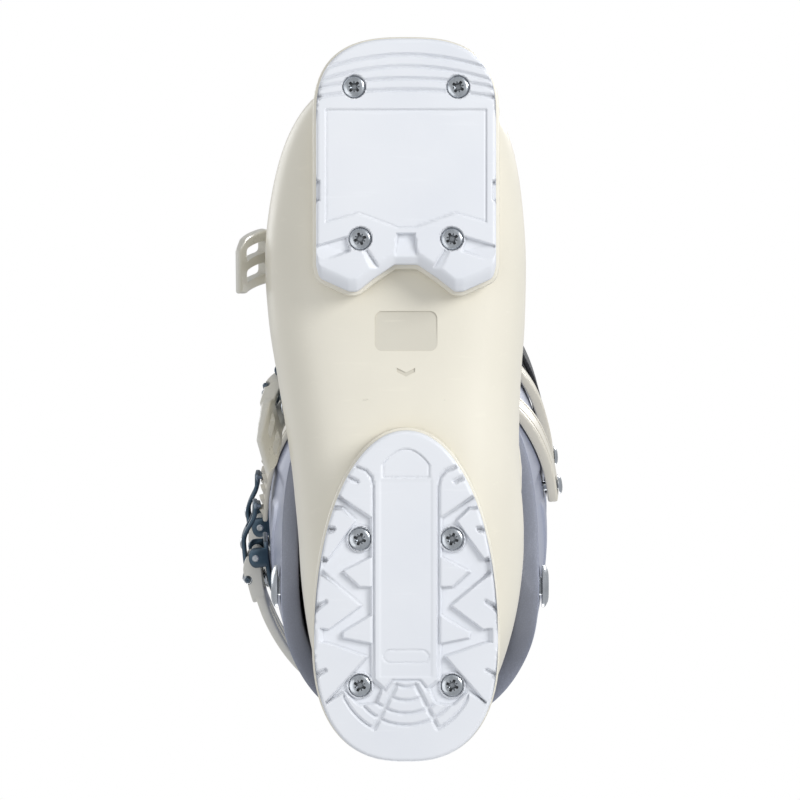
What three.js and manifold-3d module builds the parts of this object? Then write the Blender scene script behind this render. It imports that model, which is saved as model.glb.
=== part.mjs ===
// An alpine ski boot for the right foot: lower shell, screwed toe and heel soles, flexing cuff,
// liner with tongue, power strap and four lever buckles.
// Millimetres, +Z up. The toe points to -Y, so the outer (lateral) side is -X and the inner
// (medial) side is +X. The soles rest on z = 0 and Y = 0 is the middle of the sole.

import * as THREE from 'three';
import { mergeVertices } from 'three/addons/utils/BufferGeometryUtils.js';
import Module from 'manifold-3d';

const wasm = await Module();
wasm.setup();

// ---------------------------------------------------------------- driving dimensions

const soleLength = 285;
const forefootWidth = 106;
const cuffHeight = 285;

const toePlateWidth = 71;
const toePlateLength = 100;
const toePlateThickness = 12;
const toeLugHeight = 19;
const heelPlateWidth = 72.5;
const heelPlateLength = 130.5;
const heelPlateThickness = 14;
const heelLugHeight = 30;
const clearAboveLedge = 2.6;
const treadDepth = 2;
const treadGroove = 3;
const toeNoseLength = 32.5;
const toeCornerLength = 16;
const toeArchDepth = 11;
const heelWidestFromEnd = 0.37;

const shellWall = 4.5;
const shellFloor = 9;
const cuffWall = 4.5;
const cuffGapBack = 4.6;
const cuffGapFront = 7;
const boardThickness = 8;
const linerWall = 7;
const tongueHalfWidth = 24;
const tongueReach = 52;
const flapSlit = 3;

const seatGap = 0.3;
const softGap = 0.6;
const plateGap = 0.5;
const strapGap = 0.9;
const pinGap = 0.3;

const screwHeadRadius = 4.25;
const screwHeadHeight = 3;
const screwShankRadius = 2.4;
const screwRecess = 1;
const toeScrewLength = 19;
const heelScrewLength = 21;

const pivotBoltRadius = 4;
const pivotHeadRadius = 9;
const pivotHeadHeight = 3;
const pivotBossRadius = 13;

const rivetRadius = 2;
const rivetHeadRadius = 4.2;
const rivetHeadHeight = 1.5;

const buckleHalfWidth = 11.5;
const cheekHalfWidth = 8.6;
const cheekThickness = 2.8;
const earThickness = 2;
const basePlate = 2;
const hingeLift = 5.8;
const hingePinRadius = 1.5;
const barrelRadius = 2.5;
const bailReach = 11;
const bailRise = 25;
const bailHalfWidth = 4.9;
const bailPlate = 2;
const trunnionRadius = 1.3;
const ladderHalfWidth = 6;
const ladderPlate = 2.2;
const ladderPad = 2.2;
const toothHeight = 1.8;
const toothPitch = 4.4;
const toothCount = 4;

const strapHalfWidth = 19;
const strapThickness = 2.2;
const strapChord = 12.5;

// How finely the curved walls are faceted: points around a section, rings between two rows.
const formSegments = 22;
const linerSegments = 16;
const formRings = 1.5;
const outlineSteps = 16;

// ---------------------------------------------------------------- the foot and leg form

// The form is drawn for the reference size and stretched to the driving dimensions.
const reference = { length: 285, width: 106, height: 285 };
const stretch = new THREE.Vector3(
  forefootWidth / reference.width,
  soleLength / reference.length,
  cuffHeight / reference.height,
);

// One row per section, from the toe to above the cuff:
// [sole or back y, z, instep or shin y, z, lateral, medial half width of the shell,
//  lateral, medial half width of the cuff]
const sections = [
  [-131, 30, -131, 42, 9, 8, 9, 8],
  [-127, 21, -125, 58, 30, 27, 36, 33],
  [-117, 18, -112, 69, 43, 38, 49, 44],
  [-97, 18, -91, 77, 52, 45, 57, 50],
  [-66, 18, -61, 84, 57, 48.5, 62, 54],
  [-34, 19, -33, 94, 56, 48.5, 61, 54],
  [0, 20, -15, 105, 52, 47, 57, 53],
  [36, 20, -6, 116, 48, 47, 54, 54],
  [76, 18, -4, 128, 45, 49, 52, 55.5],
  [110, 17, -5, 140, 43.5, 48, 52, 55.5],
  [131, 30, -7, 151, 42, 45, 52, 55.5],
  [135, 56, -9, 161, 42, 44, 53, 56.5],
  [133, 86, -12, 171, 43, 45, 55, 58.5],
  [127, 116, -15, 181, 45, 47, 58, 61],
  [121, 146, -18, 193, 48, 50, 60, 62.5],
  [115, 176, -22, 208, 50, 52, 61, 63],
  [108, 211, -27, 227, 52, 54, 61, 62.5],
  [101, 246, -32, 247, 53, 54, 60.5, 61.5],
  [94, 285, -38, 270, 54, 54, 60, 60.5],
  [88, 325, -46, 300, 55, 55, 60, 60],
  [81, 368, -55, 343, 55, 55, 60, 60],
];
const lastSection = sections.length - 1;
const noseSection = 0.6;
const ankleSection = 9;
const shaftSection = 15;

// Smooth value of one column between the rows, a Catmull-Rom curve through them.
function column(index, at) {
  const start = Math.min(Math.floor(at), lastSection - 1);
  const row = (offset) => sections[THREE.MathUtils.clamp(start + offset, 0, lastSection)][index];
  const t = at - start;
  const [a, b, c, d] = [row(-1), row(0), row(1), row(2)];
  return 0.5 * (2 * b + (c - a) * t + (2 * a - 5 * b + 4 * c - d) * t ** 2
    + (3 * b - a - 3 * c + d) * t ** 3);
}

// Section frame at a place along the form. grow moves the surface outward (or inward, when
// negative) at the back or sole, at the front or instep, and at the sides. Its cuff share
// goes from 0, the width of the shell, to 1, the width of the cuff.
function sectionFrame(at, grow) {
  const back = new THREE.Vector3(0, column(0, at), column(1, at)).multiply(stretch);
  const front = new THREE.Vector3(0, column(2, at), column(3, at)).multiply(stretch);
  const nose = Math.max(0, 1 - at / 3) * -Math.min(0, grow.side);
  back.y += nose;
  front.y += nose;
  const across = front.clone().sub(back).normalize();
  back.addScaledVector(across, -grow.back);
  front.addScaledVector(across, grow.front);
  const width = (index) => stretch.x
    * THREE.MathUtils.lerp(column(index, at), column(index + 2, at), grow.cuff);
  return {
    centre: back.clone().add(front).multiplyScalar(0.5),
    across,
    reach: front.distanceTo(back) / 2,
    lateral: width(4) + grow.side,
    medial: width(5) + grow.side,
  };
}

// A point of a section's outline: a superellipse, squarer along the sole than at the instep.
function outlinePoint(frame, angle, soleRoundness) {
  const [up, side] = [Math.cos(angle), Math.sin(angle)];
  const power = 2 / (up < 0 ? soleRoundness : 2.3);
  const reach = frame.reach * Math.sign(up) * Math.abs(up) ** power;
  const half = side < 0 ? frame.lateral : frame.medial;
  const point = frame.centre.clone().addScaledVector(frame.across, reach);
  point.x += half * Math.sign(side) * Math.abs(side) ** power;
  return point;
}

// Closed skin through rings of points, with a fan over each end, or run round to its start.
function skin(rings, endless = false) {
  const count = rings[0].length;
  const ends = [rings[0], rings.at(-1)].map((ring) =>
    ring.reduce((sum, point) => sum.add(point), new THREE.Vector3()).divideScalar(count));
  const points = endless ? rings.flat() : [...rings.flat(), ...ends];
  const positions = points.flatMap((point) => point.toArray());
  const firstEnd = rings.length * count;
  const faces = [];
  for (let j = 0; j < count; j += 1) {
    const next = (j + 1) % count;
    for (let i = 0; i + 1 < rings.length; i += 1) {
      const [low, high] = [i * count, (i + 1) * count];
      faces.push(low + j, high + j, high + next, low + j, high + next, low + next);
    }
    const top = (rings.length - 1) * count;
    if (endless) faces.push(top + j, j, next, top + j, next, top + next);
    else faces.push(firstEnd, j, next, firstEnd + 1, top + next, top + j);
  }
  const geometry = new THREE.BufferGeometry();
  geometry.setAttribute('position', new THREE.Float32BufferAttribute(positions, 3));
  geometry.setIndex(faces);
  return geometry;
}

// The form as a solid between two places along it. growAt gives grow at a place.
function formSolid(from, to, growAt, segments = formSegments, ringsPerSection = formRings) {
  const rings = [];
  for (let i = Math.ceil(from * ringsPerSection); i <= to * ringsPerSection; i += 1) {
    const at = i / ringsPerSection;
    const soleRoundness = THREE.MathUtils.lerp(3, 2.3, THREE.MathUtils.smoothstep(at, 8, 13));
    const frame = sectionFrame(at, growAt(at));
    const ring = [];
    for (let j = 0; j < segments; j += 1) {
      ring.push(outlinePoint(frame, (2 * Math.PI * (j + 0.5)) / segments, soleRoundness));
    }
    rings.push(ring);
  }
  return solid(skin(rings));
}

// ---------------------------------------------------------------- solids

// A closed geometry as a solid that can be joined and cut.
function solid(geometry) {
  const bare = geometry.clone();
  bare.deleteAttribute('normal');
  bare.deleteAttribute('uv');
  const merged = mergeVertices(bare, 1e-4);
  const whole = new wasm.Manifold(new wasm.Mesh({
    numProp: 3,
    vertProperties: new Float32Array(merged.attributes.position.array),
    triVerts: new Uint32Array(merged.index.array),
  }));
  if (whole.volume() >= 0) return whole;
  const turned = merged.index.array.slice().reverse();
  return new wasm.Manifold(new wasm.Mesh({
    numProp: 3,
    vertProperties: new Float32Array(merged.attributes.position.array),
    triVerts: new Uint32Array(turned),
  }));
}

function joined(first, ...others) {
  return others.reduce((sum, other) => sum.add(other), first);
}

function cut(first, ...others) {
  return others.reduce((rest, other) => rest.subtract(other), first);
}

function block(low, high) {
  const size = high.map((value, i) => value - low[i]);
  const geometry = new THREE.BoxGeometry(...size);
  geometry.translate(...low.map((value, i) => value + size[i] / 2));
  return solid(geometry);
}

// A cylinder with its middle at a point and its axis along a direction.
function rod(middle, direction, radius, length, segments = 12) {
  const geometry = new THREE.CylinderGeometry(radius, radius, length, segments);
  const turn = new THREE.Quaternion().setFromUnitVectors(
    new THREE.Vector3(0, 1, 0),
    direction.clone().normalize(),
  );
  geometry.applyQuaternion(turn);
  geometry.translate(middle.x, middle.y, middle.z);
  return solid(geometry);
}

// A turned piece: profile points are [radius, height] and its axis runs along a direction.
function turned(profile, base, direction, segments = 12) {
  const points = profile.map(([radius, height]) => new THREE.Vector2(radius, height));
  const geometry = new THREE.LatheGeometry(points, segments);
  const turn = new THREE.Quaternion().setFromUnitVectors(
    new THREE.Vector3(0, 1, 0),
    direction.clone().normalize(),
  );
  geometry.applyQuaternion(turn);
  geometry.translate(base.x, base.y, base.z);
  return solid(geometry);
}

// An outline in the XY plane raised from one height to another.
function raised(outline, bottom, top) {
  const geometry = new THREE.ExtrudeGeometry(new THREE.Shape(outline), {
    depth: top - bottom,
    bevelEnabled: false,
  });
  geometry.translate(0, 0, bottom);
  return solid(geometry);
}

// A side view outline of (y, z) points, drawn out across the whole width of the boot.
function sideBlock(points) {
  const reach = forefootWidth * 2;
  const outline = points.map(([y, z]) => new THREE.Vector2(y, z));
  const geometry = new THREE.ExtrudeGeometry(new THREE.Shape(outline), {
    depth: reach,
    bevelEnabled: false,
  });
  const turn = new THREE.Matrix4().makeBasis(
    new THREE.Vector3(0, 1, 0),
    new THREE.Vector3(0, 0, 1),
    new THREE.Vector3(1, 0, 0),
  );
  geometry.applyMatrix4(turn);
  geometry.translate(-reach / 2, 0, 0);
  return solid(geometry);
}

function scaled(points) {
  return points.map(([y, z]) => [y * stretch.y, z * stretch.z]);
}

// ---------------------------------------------------------------- materials and nodes

const boot = new THREE.Group();
boot.name = 'alpine_ski_boot';

const looks = {
  shell: { color: 0xd7d3c7, roughness: 0.35, metalness: 0 },
  sole: { color: 0xe6e9f0, roughness: 0.5, metalness: 0 },
  cuff: { color: 0x9aa0b2, roughness: 0.4, metalness: 0 },
  steel: { color: 0xb8bcc0, roughness: 0.25, metalness: 1 },
  lever: { color: 0xe2e0d8, roughness: 0.35, metalness: 0.2 },
  link: { color: 0x2f3f4b, roughness: 0.35, metalness: 0.8 },
  ladder: { color: 0xdcd8cc, roughness: 0.4, metalness: 0.2 },
  liner: { color: 0x2c2f35, roughness: 0.9, metalness: 0 },
  tongue: { color: 0x3a3d44, roughness: 0.9, metalness: 0 },
  board: { color: 0x6d7078, roughness: 0.7, metalness: 0 },
  strap: { color: 0x16171a, roughness: 0.95, metalness: 0 },
};

function place(name, piece, look) {
  const data = piece.getMesh();
  const geometry = new THREE.BufferGeometry();
  geometry.setAttribute('position', new THREE.Float32BufferAttribute(data.vertProperties, 3));
  geometry.setIndex(Array.from(data.triVerts));
  const mesh = new THREE.Mesh(geometry, new THREE.MeshStandardMaterial(looks[look]));
  mesh.name = name;
  boot.add(mesh);
}

// ---------------------------------------------------------------- soles

const toeEnd = -soleLength / 2;
const heelEnd = soleLength / 2;

// Rounded front, straight sides and a rear edge of two lobes with an arch between them.
function toeOutline() {
  const half = toePlateWidth / 2;
  const rear = toeEnd + toePlateLength;
  const points = [];
  for (let i = 0; i <= outlineSteps; i += 1) {
    const angle = (Math.PI * i) / outlineSteps;
    const [side, ahead] = [Math.cos(angle), Math.sin(angle)];
    const power = 2 / 2.8;
    points.push(new THREE.Vector2(
      half * Math.sign(side) * Math.abs(side) ** power,
      toeEnd + toeNoseLength * (1 - Math.abs(ahead) ** power),
    ));
  }
  const rearEdge = new THREE.CatmullRomCurve3([
    new THREE.Vector3(-half, rear - toeCornerLength, 0),
    new THREE.Vector3(-half + 2, rear - 6, 0),
    new THREE.Vector3(-0.6 * half, rear, 0),
    new THREE.Vector3(0, rear - toeArchDepth, 0),
    new THREE.Vector3(0.6 * half, rear, 0),
    new THREE.Vector3(half - 2, rear - 6, 0),
    new THREE.Vector3(half, rear - toeCornerLength, 0),
  ]);
  rearEdge.getPoints(12).forEach((point) => points.push(new THREE.Vector2(point.x, point.y)));
  return points;
}

// An egg with its narrow end at the arch of the foot and its round end at the heel.
function heelOutline() {
  const half = heelPlateWidth / 2;
  const points = [];
  for (let i = 0; i < 2 * outlineSteps; i += 1) {
    const angle = (Math.PI * i) / outlineSteps;
    const [side, along] = [Math.sin(angle), Math.cos(angle)];
    const widest = heelEnd - heelWidestFromEnd * heelPlateLength;
    const reach = along > 0 ? heelEnd - widest : heelPlateLength - (heelEnd - widest);
    const power = along > 0 ? 2 / 2.5 : 2 / 2.05;
    points.push(new THREE.Vector2(
      half * Math.sign(side) * Math.abs(side) ** power,
      widest + reach * Math.sign(along) * Math.abs(along) ** power,
    ));
  }
  return points;
}

const toeScrews = [[20.5, 19.1], [18.1, 79]].map(([x, behind]) => [x, toeEnd + behind]);
const heelScrews = [[18.2, 87.7], [18.2, 30]].map(([x, ahead]) => [x, heelEnd - ahead]);

function screwPlaces(pairs) {
  return pairs.flatMap(([x, y]) => [new THREE.Vector3(-x, y, 0), new THREE.Vector3(x, y, 0)]);
}

const up = new THREE.Vector3(0, 0, 1);

// The hole that a sole screw needs: a counterbore for the head and a bore for the shank.
function screwHole(at, length) {
  const bore = at.clone().setZ(length / 2);
  const counter = at.clone().setZ((screwRecess + screwHeadHeight) / 2);
  return joined(
    rod(bore, up, screwShankRadius + pinGap, length + 2 * seatGap),
    rod(counter, up, screwHeadRadius + pinGap, screwRecess + screwHeadHeight + seatGap * 2),
  );
}

function screw(at, length) {
  const top = screwRecess + screwHeadHeight;
  const body = turned([
    [0, screwRecess],
    [screwHeadRadius - 0.6, screwRecess],
    [screwHeadRadius, screwRecess + 0.6],
    [screwHeadRadius, top],
    [screwShankRadius, top],
    [screwShankRadius, length],
    [0, length],
  ], at, up);
  const slot = 1.1;
  const reach = 2.6;
  const depth = screwRecess + 1.6;
  return cut(
    body,
    block([at.x - reach, at.y - slot / 2, 0], [at.x + reach, at.y + slot / 2, depth]),
    block([at.x - slot / 2, at.y - reach, 0], [at.x + slot / 2, at.y + reach, depth]),
  );
}

// A groove across the sole that bends toward the heel at its ends.
function crossGroove(y, halfLength, droop) {
  const points = [];
  const count = 5;
  for (const side of [-1, 1]) {
    for (let i = 0; i <= count; i += 1) {
      const along = side * (1 - (2 * i) / count);
      points.push(new THREE.Vector2(
        along * halfLength,
        y + droop * along ** 2 + (side * treadGroove) / 2,
      ));
    }
  }
  return raised(points, -1, treadDepth);
}

function toeSole() {
  const plate = raised(toeOutline(), 0, toePlateThickness);
  const grooves = [];
  for (let i = 0; i < 4; i += 1) {
    grooves.push(crossGroove(toeEnd + 7 + 5 * i, toePlateWidth / 2 - 8 + i, 4));
  }
  const rear = toeEnd + toePlateLength;
  const channel = block([-4, rear - 26, -1], [4, rear - 14, treadDepth]);
  const holes = screwPlaces(toeScrews).map((at) => screwHole(at, toePlateThickness));
  return cut(plate, ...grooves, channel, ...holes);
}

function heelSole() {
  const plate = raised(heelOutline(), 0, heelPlateThickness);
  const from = heelEnd - heelPlateLength + 22;
  const grooves = [-1, 1].map((side) => {
    const x = side * 13;
    return block([x - treadGroove / 2, from, -1], [x + treadGroove / 2, heelEnd - 28, treadDepth]);
  });
  const fan = [10, 17, 24].map((ahead) => crossGroove(heelEnd - ahead, 11, -2));
  const holes = screwPlaces(heelScrews).map((at) => screwHole(at, heelPlateThickness));
  return cut(plate, ...grooves, ...fan, ...holes);
}

place('toe_sole', toeSole(), 'sole');
place('heel_sole', heelSole(), 'sole');

const screwNames = ['front_lateral', 'front_medial', 'rear_lateral', 'rear_medial'];
screwPlaces(toeScrews).forEach((at, i) => {
  place(`toe_screw_${screwNames[i]}`, screw(at, toeScrewLength), 'steel');
});
screwPlaces(heelScrews).forEach((at, i) => {
  place(`heel_screw_${screwNames[i]}`, screw(at, heelScrewLength), 'steel');
});

// ---------------------------------------------------------------- the girth of the boot

const { lerp, smoothstep, degToRad } = THREE.MathUtils;

function shellOutside() {
  return { back: 0, front: 0, side: 0, cuff: 0 };
}

// The floor is thick under the foot and thins to the wall behind the heel.
function shellInside(at) {
  const floor = lerp(shellFloor, shellWall, smoothstep(at, ankleSection, ankleSection + 3));
  return { back: -floor, front: -shellWall, side: -shellWall, cuff: 0 };
}

function cuffInside() {
  return { back: cuffGapBack, front: cuffGapFront, side: -cuffWall, cuff: 1 };
}

function cuffOutside() {
  return {
    back: cuffGapBack + cuffWall,
    front: cuffGapFront + cuffWall,
    side: 0,
    cuff: 1,
  };
}

// The liner fills the shell and, above the shell's collar, the cuff.
function linerOutside(at) {
  const rise = smoothstep(at, shaftSection - 1, shaftSection + 1);
  const [shell, around] = [shellInside(at), cuffInside()];
  const between = (key) => lerp(shell[key], around[key], rise) - softGap;
  return { back: between('back'), front: between('front'), side: between('side'), cuff: rise };
}

function linerInside(at) {
  const { back, front, side, cuff: share } = linerOutside(at);
  return { back: back - linerWall, front: front - linerWall, side: side - linerWall, cuff: share };
}

function surfaceMesh(piece) {
  const data = piece.getMesh();
  const geometry = new THREE.BufferGeometry();
  geometry.setAttribute('position', new THREE.Float32BufferAttribute(data.vertProperties, 3));
  geometry.setIndex(Array.from(data.triVerts));
  return new THREE.Mesh(geometry, new THREE.MeshBasicMaterial({ side: THREE.DoubleSide }));
}

// A plane around the boot. Its angle is 0 at the lateral side, 90 over the instep or shin and
// 180 at the medial side, in degrees. sweep slants its lateral side along the boot.
class Girth {
  constructor(surface, centre, ahead, sweep = 0) {
    this.surface = surface;
    this.centre = centre;
    this.ahead = ahead.clone().normalize();
    const across = new THREE.Vector3(-1, 0, 0);
    const upright = across.clone().cross(this.ahead);
    this.side = across.addScaledVector(upright, sweep).normalize();
    this.axis = this.side.clone().cross(this.ahead).normalize();
    this.caster = new THREE.Raycaster();
    this.known = new Map();
  }

  // The surface point at an angle, in the plane moved along the girth's axis.
  surfacePoint(degrees, along) {
    const key = `${degrees.toFixed(4)} ${along.toFixed(4)}`;
    if (!this.known.has(key)) {
      const angle = THREE.MathUtils.degToRad(degrees);
      const direction = this.side.clone().multiplyScalar(Math.cos(angle))
        .addScaledVector(this.ahead, Math.sin(angle));
      const far = this.centre.clone().addScaledVector(this.axis, along)
        .addScaledVector(direction, 3 * forefootWidth);
      this.caster.set(far, direction.negate());
      this.known.set(key, this.caster.intersectObject(this.surface)[0].point);
    }
    return this.known.get(key).clone();
  }

  // The angle that lies a distance along the surface from another angle.
  travel(degrees, distance) {
    const stride = Math.sign(distance);
    let [angle, left] = [degrees, Math.abs(distance)];
    while (left > 0) {
      const step = this.surfacePoint(angle + stride, 0).distanceTo(this.surfacePoint(angle, 0));
      const share = Math.min(1, left / step);
      angle += stride * share;
      left -= step * share;
      if (share < 1) break;
    }
    return angle;
  }

  // The angle at which a point stands square above the surface.
  angleUnder(point, guess) {
    let angle = guess;
    for (let i = 0; i < 6; i += 1) {
      const offset = point.clone().sub(this.surfacePoint(angle, 0)).dot(this.onward(angle));
      if (offset !== 0) angle = this.travel(angle, offset);
    }
    return angle;
  }

  // Along the girth, toward larger angles.
  onward(degrees) {
    return this.surfacePoint(degrees + 1.5, 0).sub(this.surfacePoint(degrees - 1.5, 0)).normalize();
  }

  // Square to the surface, in the girth's plane.
  outward(degrees) {
    return this.axis.clone().cross(this.onward(degrees)).negate().normalize();
  }

  // Square to the surface itself, which may slope along the girth's axis too.
  normal(degrees) {
    const slope = this.surfacePoint(degrees, 4).sub(this.surfacePoint(degrees, -4));
    return slope.cross(this.onward(degrees)).negate().normalize();
  }

  // A point above the surface, moved along the girth's axis. It follows the surface's slope
  // there when it fits, and otherwise stays square to the plane.
  point(degrees, lift, along = 0, fits = false) {
    const foot = this.surfacePoint(degrees, fits ? along : 0);
    if (!fits) foot.addScaledVector(this.axis, along);
    return foot.addScaledVector(this.outward(degrees), lift);
  }

  // A bar that follows the surface. lift and half give [low, high] and [from, to] at a share
  // of the bar's length.
  bar(from, to, steps, lift, half, fits = false) {
    const rings = [];
    for (let i = 0; i <= steps; i += 1) {
      const share = i / steps;
      const angle = THREE.MathUtils.lerp(from, to, share);
      const [low, high] = lift(share);
      const [start, end] = half(share);
      rings.push([
        this.point(angle, low, start, fits),
        this.point(angle, high, start, fits),
        this.point(angle, high, end, fits),
        this.point(angle, low, end, fits),
      ]);
    }
    return solid(skin(rings));
  }

  // The way round, measured in short steps.
  length() {
    let sum = 0;
    for (let angle = 0; angle < 360; angle += 3) {
      sum += this.surfacePoint(angle + 3, 0).distanceTo(this.surfacePoint(angle, 0));
    }
    return sum;
  }

  // A band that runs all the way round, in chords of about a given length.
  band(chord, lift, half) {
    const rings = [];
    const steps = Math.ceil(this.length() / chord);
    for (let i = 0; i < steps; i += 1) {
      const angle = this.travel(0, (i * this.length()) / steps);
      rings.push([
        this.point(angle, lift[0], -half, true),
        this.point(angle, lift[1], -half, true),
        this.point(angle, lift[1], half, true),
        this.point(angle, lift[0], half, true),
      ]);
    }
    return solid(skin(rings, true));
  }

  rod(point, radius, halfLength, segments = 10) {
    return rod(point, this.axis, radius, 2 * halfLength, segments);
  }
}

const shellSurface = surfaceMesh(formSolid(0, lastSection, shellOutside, 48, 3));
const cuffSurface = surfaceMesh(formSolid(ankleSection - 2, lastSection, cuffOutside, 48, 3));
const cuffLining = surfaceMesh(formSolid(ankleSection - 3, lastSection, cuffInside, 48, 3));

const foreGirth = new Girth(
  shellSurface,
  new THREE.Vector3(0, -52, 46).multiply(stretch),
  new THREE.Vector3(0, -0.29, 1),
);
const instepGirth = new Girth(
  shellSurface,
  new THREE.Vector3(0, 11, 57).multiply(stretch),
  new THREE.Vector3(0, -0.75, 1),
  0.2,
);
const lowerCuffGirth = new Girth(
  cuffSurface,
  new THREE.Vector3(0, 52, 170).multiply(stretch),
  new THREE.Vector3(0, -1, -0.16),
);
const upperCuffGirth = new Girth(
  cuffSurface,
  new THREE.Vector3(0, 40, 228).multiply(stretch),
  new THREE.Vector3(0, -1, -0.2),
);
const strapGirth = new Girth(
  cuffSurface,
  new THREE.Vector3(0, 28, 278).multiply(stretch),
  new THREE.Vector3(0, -1, -0.14),
);

// ---------------------------------------------------------------- buckles

// hinge: angle of the lever's pin. tail: length of the lever beyond it. ladderEnd: angle at
// which the toothed ladder is riveted down.
const buckles = [
  { name: 'forefoot', girth: foreGirth, hinge: 44, tail: 44, ladderEnd: 128, wall: shellWall },
  { name: 'instep', girth: instepGirth, hinge: 40, tail: 42, ladderEnd: 134, wall: shellWall },
  { name: 'lower_cuff', girth: lowerCuffGirth, hinge: -14, tail: 60, ladderEnd: 172, wall: cuffWall },
  { name: 'upper_cuff', girth: upperCuffGirth, hinge: -14, tail: 58, ladderEnd: 172, wall: cuffWall },
];

const strapRivets = { lateral: 278, medial: 262 };
const strapDrop = -8;

const hookReach = 30;

function rivetPlaces(buckle) {
  const { girth, hinge, ladderEnd } = buckle;
  return {
    base: { angle: girth.travel(hinge, -11), under: basePlate },
    ladder: { angle: girth.travel(ladderEnd, -6), under: ladderPlate + ladderPad },
  };
}

// A rivet that fills a wall and carries its head at a height above it.
function rivetThrough(spot, direction, headBase, wall) {
  const depth = wall - softGap;
  const seat = depth + headBase;
  return turned([
    [0, 0],
    [rivetRadius, 0],
    [rivetRadius, seat],
    [rivetHeadRadius, seat],
    [rivetHeadRadius * 0.72, seat + rivetHeadHeight],
    [0, seat + rivetHeadHeight],
  ], spot.addScaledVector(direction, -depth), direction, 10);
}

function rivet(buckle, { angle, under }) {
  const spot = buckle.girth.point(angle, 0);
  return rivetThrough(spot, buckle.girth.normal(angle), plateGap + under + softGap, buckle.wall);
}

function rivetHole(buckle, { angle }) {
  const middle = buckle.girth.point(angle, 0);
  return rod(middle, buckle.girth.normal(angle), rivetRadius + pinGap, 4 * buckle.wall, 10);
}

// Where the link hangs in the lever: beyond the hinge pin and a little above it.
function bailPoint(buckle) {
  const { girth, hinge } = buckle;
  const rise = THREE.MathUtils.degToRad(bailRise);
  return girth.point(hinge, hingeLift)
    .addScaledVector(girth.onward(hinge), -bailReach * Math.cos(rise))
    .addScaledVector(girth.outward(hinge), bailReach * Math.sin(rise));
}

function buckleBase(buckle) {
  const { girth, hinge } = buckle;
  const ear = buckleHalfWidth - earThickness;
  const plate = girth.bar(girth.travel(hinge, -17), girth.travel(hinge, 7), 4,
    () => [plateGap, plateGap + basePlate],
    () => [-buckleHalfWidth, buckleHalfWidth],
    true);
  const ears = [-1, 1].map((side) => girth.bar(girth.travel(hinge, -4), girth.travel(hinge, 4), 2,
    (share) => [plateGap + 1, hingeLift + (share === 0.5 ? 3.6 : 2.2)],
    () => (side < 0 ? [-buckleHalfWidth, -ear] : [ear, buckleHalfWidth]),
    true));
  const pinHole = girth.rod(girth.point(hinge, hingeLift), hingePinRadius + pinGap, 20);
  return cut(joined(plate, ...ears), pinHole, rivetHole(buckle, rivetPlaces(buckle).base));
}

// Half width of the lever's shank: wide behind the ears and tapered toward the finger tip.
function leverHalfWidth(share) {
  const shoulder = lerp(cheekHalfWidth, buckleHalfWidth, Math.min(1, share * 5));
  return shoulder - 8 * Math.max(0, share - 0.7);
}

function lever(buckle) {
  const { girth, hinge, tail } = buckle;
  const inner = cheekHalfWidth - cheekThickness;
  const cheekEnd = girth.travel(hinge, -18);
  const tip = girth.travel(hinge, -tail);
  const cheeks = [-1, 1].map((side) => girth.bar(girth.travel(hinge, 0.5), cheekEnd, 3,
    (share) => [3.4 + 2 * share, 7.8 + 4.4 * Math.sin(Math.PI * Math.min(share + 0.15, 0.7))],
    () => (side < 0 ? [-cheekHalfWidth, -inner] : [inner, cheekHalfWidth])));
  const shank = girth.bar(girth.travel(hinge, -15.5), tip, 5,
    (share) => [5.4 + 4.5 * share ** 2, 9.6 + 3.4 * share ** 2 - 0.8 * share],
    (share) => [-leverHalfWidth(share), leverHalfWidth(share)]);
  const barrel = girth.rod(girth.point(hinge, hingeLift), barrelRadius, cheekHalfWidth - 0.4);
  const slits = [-1, 1].map((side) => girth.bar(
    girth.travel(hinge, -24),
    girth.travel(hinge, -tail + 9),
    3,
    () => [0, 20],
    () => (side < 0 ? [-7, -2.2] : [2.2, 7]),
  ));
  const pinHole = girth.rod(girth.point(hinge, hingeLift), hingePinRadius + pinGap, 20);
  const linkHole = girth.rod(bailPoint(buckle), trunnionRadius + pinGap, 20);
  return cut(joined(shank, ...cheeks, barrel), ...slits, pinHole, linkHole);
}

// Where the link hangs in the lever, and the angles of its two ends.
function linkEnds(buckle) {
  const { girth, hinge } = buckle;
  const eye = bailPoint(buckle);
  const start = girth.angleUnder(eye, hinge);
  return { eye, start, end: girth.travel(start, hookReach) };
}

// The link from the lever to the ladder: an eye with two trunnions, a plate with a window and
// a hook that drops between two teeth.
function link(buckle) {
  const { girth } = buckle;
  const { eye, start, end } = linkEnds(buckle);
  const eyeLift = girth.surfacePoint(start, 0).distanceTo(eye);
  const rest = plateGap + ladderPlate + toothHeight + softGap;
  const low = (share) => lerp(eyeLift - 1, rest, smoothstep(share, 0.45, 0.85));
  const whole = () => [-bailHalfWidth, bailHalfWidth];
  const plate = girth.bar(start, girth.travel(end, 1.5), 7,
    (share) => [low(share), low(share) + bailPlate], whole, true);
  const hook = girth.bar(girth.travel(end, -0.8), girth.travel(end, 0.8), 1,
    () => [rest - toothHeight * 0.8, rest + 1], whole, true);
  const window = girth.bar(girth.travel(end, -10), girth.travel(end, -4), 2,
    () => [0, 20], () => [-2.4, 2.4]);
  return cut(
    joined(
      plate,
      hook,
      girth.rod(eye, trunnionRadius + 1, bailHalfWidth),
      girth.rod(eye, trunnionRadius, cheekHalfWidth),
    ),
    window,
  );
}

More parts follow.
